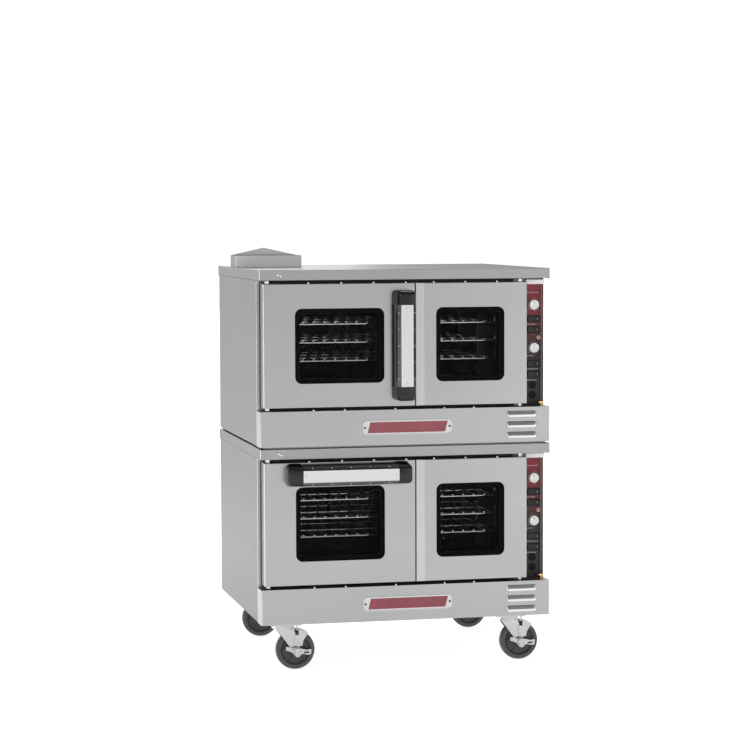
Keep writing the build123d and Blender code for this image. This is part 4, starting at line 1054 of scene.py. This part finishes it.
def flue_details():
    """Black floor that paints the shade in the flue duct, deflector blades inside the flue collar, its flange
    and screws, lighter steel sheets that paint light onto its front and gable, and painted highlights on its
    front corners.
    """
    low, high = (in_mm(corner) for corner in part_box("flue_box"))
    top = in_mm(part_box("top_covers")[1]).z
    xs, depths = (low.x, high.x), (low.y, high.y)
    outline = rect(grown(xs, -3), grown(depths, -3))
    # black floor that paints the shade deep in the flue duct
    bar("flue_duct_shade", outline, top, top + 1.5, "shadow_black", axis="Z", bevel=0.3)
    blades = bmesh.new()
    foot, head = (top + height for height in FLUE_BLADE_HEIGHTS)
    slope, thickness = FLUE_BLADES["slope"], FLUE_BLADES["thickness"]
    for k in range(FLUE_BLADES["count"]):
        near = depths[0] + FLUE_BLADES["first"] + k * FLUE_BLADES["pitch"]
        far = near + slope
        outline = [(near, foot), (near + thickness, foot), (far + thickness, head), (far, head)]
        add_prism(blades, outline, xs[0] + 2, xs[1] - 2, axis="X")
    piece("flue_blades", blades, "burner_steel", bevel=0.3)
    flange = bmesh.new()
    add_frame(flange, rect(xs, grown(depths, 12)), rect(xs, grown(depths, 0.2)), top, top + 1.2, axis="Z")
    piece("flue_flange", flange, "stainless_body", bevel=0.3)
    columns = (xs[0] + 20, sum(xs) / 2, xs[1] - 20)
    screws("flue_screws", [(x, depth, top + 1.2) for x in columns for depth in grown(depths, 6)], 4.0, 0)
    # lighter steel sheets that paint light onto the flue box's front and rear gable
    painted_light_sheets = bmesh.new()
    ridge, eaves = high.z - 1.5, top + FLUE_EAVES
    gable = [(xs[0] + 6, eaves), (xs[1] - 6, eaves), (sum(xs) / 2, ridge)]
    add_prism(painted_light_sheets, gable, depths[1] - 2.6, depths[1] - 1.7)
    front_sheet = rect((xs[0] + 1.5, xs[1] - 0.4), (top + 0.8, eaves - 0.6))
    add_prism(painted_light_sheets, front_sheet, depths[0] - 0.5, depths[0] + 0.3)
    piece("flue_painted_light_sheets", painted_light_sheets, "flue_painted_light_steel")
    # painted highlights: bright steel beads on the flue box's front corners
    front = depths[0] + 0.6
    folds = [[(x, front, top + 1), (x, front, eaves - 1)] for x in grown(xs, -0.6)]
    tube("flue_painted_fold_highlights", folds, 0.9, "painted_highlight_steel")


# ================================================================ casters
def caster_wheel(name):
    """Tyre with a rounded tread, and a ribbed wheel centre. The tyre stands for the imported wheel."""
    node = f"{name}_caster_wheel"
    low, high = (in_mm(corner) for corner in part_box(node))
    c = (low + high) / 2
    r, half = (high.z - low.z) / 2, (high.y - low.y) / 2
    tyre = bmesh.new()
    add_lathe(tyre, [(r * u, half * v) for u, v in TREAD], c, steps=72)
    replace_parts(piece(f"{node}_tyre", tyre, "wheel_rubber", node), node)
    bore = AXLE_RADIUS + 0.2
    core = bmesh.new()
    add_lathe(core, [(max(bore, r * u), half * v) for u, v in WHEEL_CENTRE], c, steps=72)
    span = (r * WHEEL_RIBS["from"], r * WHEEL_RIBS["to"])
    for k in range(WHEEL_RIBS["count"]):
        rib = bmesh.new()
        outline = rect(span, around(0, 2 * WHEEL_RIBS["half_thickness"]))
        add_prism(rib, outline, *around(0, 2 * half * WHEEL_RIBS["half_width"]))
        spin = Matrix.Rotation(2 * math.pi * k / WHEEL_RIBS["count"], 4, "Y")
        rib.transform(Matrix.Translation(c) @ spin)
        add_mesh(core, rib)
    piece(f"{node}_centre", core, "wheel_disc", node, bevel=0.5)


def add_mesh(bm, other):
    """Put another mesh's faces into this one."""
    scratch = bpy.data.meshes.new("scratch")
    other.to_mesh(scratch)
    other.free()
    bm.from_mesh(scratch)
    bpy.data.meshes.remove(scratch)


def brake_lever(name):
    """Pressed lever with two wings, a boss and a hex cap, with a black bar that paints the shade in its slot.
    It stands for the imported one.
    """
    node = f"{name}_brake_lever"
    back = in_mm(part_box(node)[1]).y
    wheel = middle(f"{name}_caster_wheel")
    bm = bmesh.new()
    add_prism(bm, [(wheel.x + x, wheel.z + z) for x, z in LEVER_OUTLINE], back - 6.6, back - 3.4)
    for vert in bm.verts:
        vert.co.y += LEVER_WING["set_back"] * ((vert.co.x - wheel.x) / LEVER_WING["length"]) ** 2
    add_lathe(bm, LEVER_BOSS, (wheel.x, back - 0.2, wheel.z))
    add_lathe(bm, LEVER_CAP, (wheel.x + 2, back, wheel.z - 9), steps=6)
    made = piece(f"{node}_pressing", bm, "zinc_plate", node, bevel=0.9)
    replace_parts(made, node)
    # black bar that paints the shade seen through the lever's slot
    outline = rounded((wheel.x + 24, wheel.x + 41), around(wheel.z - 6.5, 4.5), 2.0)
    bar(f"{node}_slot", outline, back - 6.9, back - 3.0, "shadow_black", node)


def caster_details(name):
    """Nuts on the axle bolt, the ball race under the mounting plate, and the plate's hex bolts."""
    fork = f"{name}_caster_fork"
    wheel = middle(f"{name}_caster_wheel")
    low, high = (in_mm(corner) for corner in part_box(fork))
    nuts = bmesh.new()
    add_lathe(nuts, [(r, high.y + 0.3 - t) for r, t in AXLE_NUT], (wheel.x, 0, wheel.z), steps=6)
    add_lathe(nuts, [(r, low.y - 0.3 + t) for r, t in AXLE_NUT], (wheel.x, 0, wheel.z), steps=6)
    piece(f"{name}_axle_nuts", nuts, "zinc_plate", fork, bevel=0.5)
    race = bmesh.new()
    plate = in_mm(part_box("caster_mounting_plates")[1]).z - PLATE_THICKNESS
    swivel = (wheel.x - CASTER_OFFSET, wheel.y)
    for below, r in RACE_RINGS:
        z = plate - below
        ring = [(r - 3, z - 1.2), (r, z - 1.0), (r + 0.6, z), (r, z + 1.0), (r - 3, z + 1.2)]
        add_lathe(race, ring, (*swivel, 0), "Z", 48)
    piece(f"{name}_ball_race", race, "pin_steel", fork)
    bolts = bmesh.new()
    half_x, half_y = PLATE_BOLT_PLACES
    for x in around(swivel[0], 2 * half_x):
        for y in around(swivel[1], 2 * half_y):
            add_lathe(bolts, PLATE_BOLT, (x, y, plate - 0.8), "Z", 6)
    piece(f"{name}_plate_bolts", bolts, "screw_steel")


# ================================================================ stage, camera, lights
CAMERA = {"place": (-1.8336, -8.0034, 1.4596), "lens": 115.98, "yaw": -12.831, "down": 3.743, "roll": -0.196}
CENTRE = (0.0, 0.0, 0.7)
LIGHTS = {                       # place, target, width and height in metres, power in watts
    "key": ((-3.6, -3.6, 3.4), CENTRE, (2.4, 2.4), 45),
    "edge_strip": ((-2.9, -2.1, 1.5), (-0.3, -0.3, 0.8), (0.12, 1.9), 5),
    "right_softbox": ((2.0, -4.2, 1.0), (0.4, -0.4, 0.75), (1.3, 1.9), 3),
    "fill": ((3.4, -3.2, 2.2), CENTRE, (2.0, 2.6), 14),
    "top": ((0.3, 0.6, 4.0), CENTRE, (3.0, 2.0), 50),
    "back": ((-0.5, 4.2, 2.4), CENTRE, (3.0, 2.0), 36),
}


def make_camera():
    """Camera at the reference viewing angle."""
    data = bpy.data.cameras.new("camera")
    data.sensor_width = 36.0
    data.lens = CAMERA["lens"]
    data.clip_end = 100.0
    camera = bpy.data.objects.new("camera", data)
    bpy.context.scene.collection.objects.link(camera)
    turns = ((CAMERA["yaw"], "Z"), (90 - CAMERA["down"], "X"), (CAMERA["roll"], "Z"))
    camera.matrix_world = Matrix.Translation(CAMERA["place"])
    for degrees, axis in turns:
        camera.matrix_world = camera.matrix_world @ Matrix.Rotation(math.radians(degrees), 4, axis)
    bpy.context.scene.camera = camera


def area_light(name, location, target, size, power):
    """Soft box that points at a target."""
    data = bpy.data.lights.new(name, "AREA")
    data.shape = "RECTANGLE"
    data.size, data.size_y = size
    data.energy = power
    light = bpy.data.objects.new(name, data)
    light.location = location
    light.rotation_euler = (Vector(target) - Vector(location)).to_track_quat("-Z", "Y").to_euler()
    bpy.context.scene.collection.objects.link(light)


def make_world():
    """Even pale surround near the horizon, with a dark ceiling and a dark flag on the left."""
    world = bpy.data.worlds.new("studio")
    world.use_nodes = True
    nodes, links = world.node_tree.nodes, world.node_tree.links
    direction = nodes.new("ShaderNodeTexCoord")
    axes = nodes.new("ShaderNodeSeparateXYZ")
    links.new(direction.outputs["Generated"], axes.inputs["Vector"])
    ceiling = [(0.0, (1.0,) * 3), (0.13, (1.0,) * 3), (0.42, (0.30,) * 3), (1.0, (0.2,) * 3)]
    by_height = ramp(nodes, links, axes.outputs["Z"], ceiling)
    leftward = nodes.new("ShaderNodeMapRange")
    leftward.inputs["From Min"].default_value = -0.95
    leftward.inputs["From Max"].default_value = -0.75
    leftward.inputs["To Min"].default_value = 0.12
    links.new(axes.outputs["X"], leftward.inputs["Value"])
    shading = multiply(nodes, links, by_height, leftward.outputs["Result"])
    links.new(shading, nodes["Background"].inputs["Color"])
    nodes["Background"].inputs["Strength"].default_value = 1.06
    bpy.context.scene.world = world


def floor_finish():
    """Pale floor that glows a little, more so away from the object, so that it meets the surround evenly."""
    material = surface("floor", (0.93, 0.93, 0.93), roughness=0.9, grain=(3, 3, 3), contrast=0.005)
    nodes, links = material.node_tree.nodes, material.node_tree.links
    place_on_floor = nodes.new("ShaderNodeTexCoord")
    distance = nodes.new("ShaderNodeVectorMath")
    distance.operation = "LENGTH"
    links.new(place_on_floor.outputs["Object"], distance.inputs[0])
    glow = nodes.new("ShaderNodeMapRange")
    glow.inputs["From Min"].default_value = 0.7
    glow.inputs["From Max"].default_value = 2.6
    glow.inputs["To Min"].default_value = 0.72
    glow.inputs["To Max"].default_value = 1.06
    links.new(distance.outputs["Value"], glow.inputs["Value"])
    shader = nodes["Principled BSDF"]
    shader.inputs["Emission Color"].default_value = (1.0, 1.0, 1.0, 1.0)
    links.new(glow.outputs["Result"], shader.inputs["Emission Strength"])
    return material


def make_stage():
    """Pale floor, pale surround and soft boxes."""
    bpy.context.scene.view_settings.view_transform = "Standard"
    make_world()
    bm = bmesh.new()
    add_prism(bm, rect((-30000, 30000), (-30000, 30000)), -20, 0, axis="Z")
    new_object("floor", bm, floor_finish())
    for name, setting in LIGHTS.items():
        area_light(name, *setting)


DECK_PARTS = (
    door_gasket, seam_strip, painted_edge_light, handle_grip, handle_details, switch_details, printed_scales,
    panel_fittings, badge, louvres, gap_screws, gap_shade_strips, hinge_brackets, fan_guard, rear_cover,
)


def main():
    """Build the looks round the frame."""
    make_camera()
    make_stage()
    finish_nodes()
    for deck, base in DECKS.items():
        for dress in DECK_PARTS:
            dress(deck, base)
        for side in SIDES:
            door_details(deck, side, base)
        for name in KNOBS:
            knob(deck, name, base)
    gas_fittings()
    flue_details()
    for end in ("front", "rear"):
        for side in SIDES:
            name = f"{end}_{side}"
            caster_wheel(name)
            caster_details(name)
            if end == "front":
                brake_lever(name)


main()
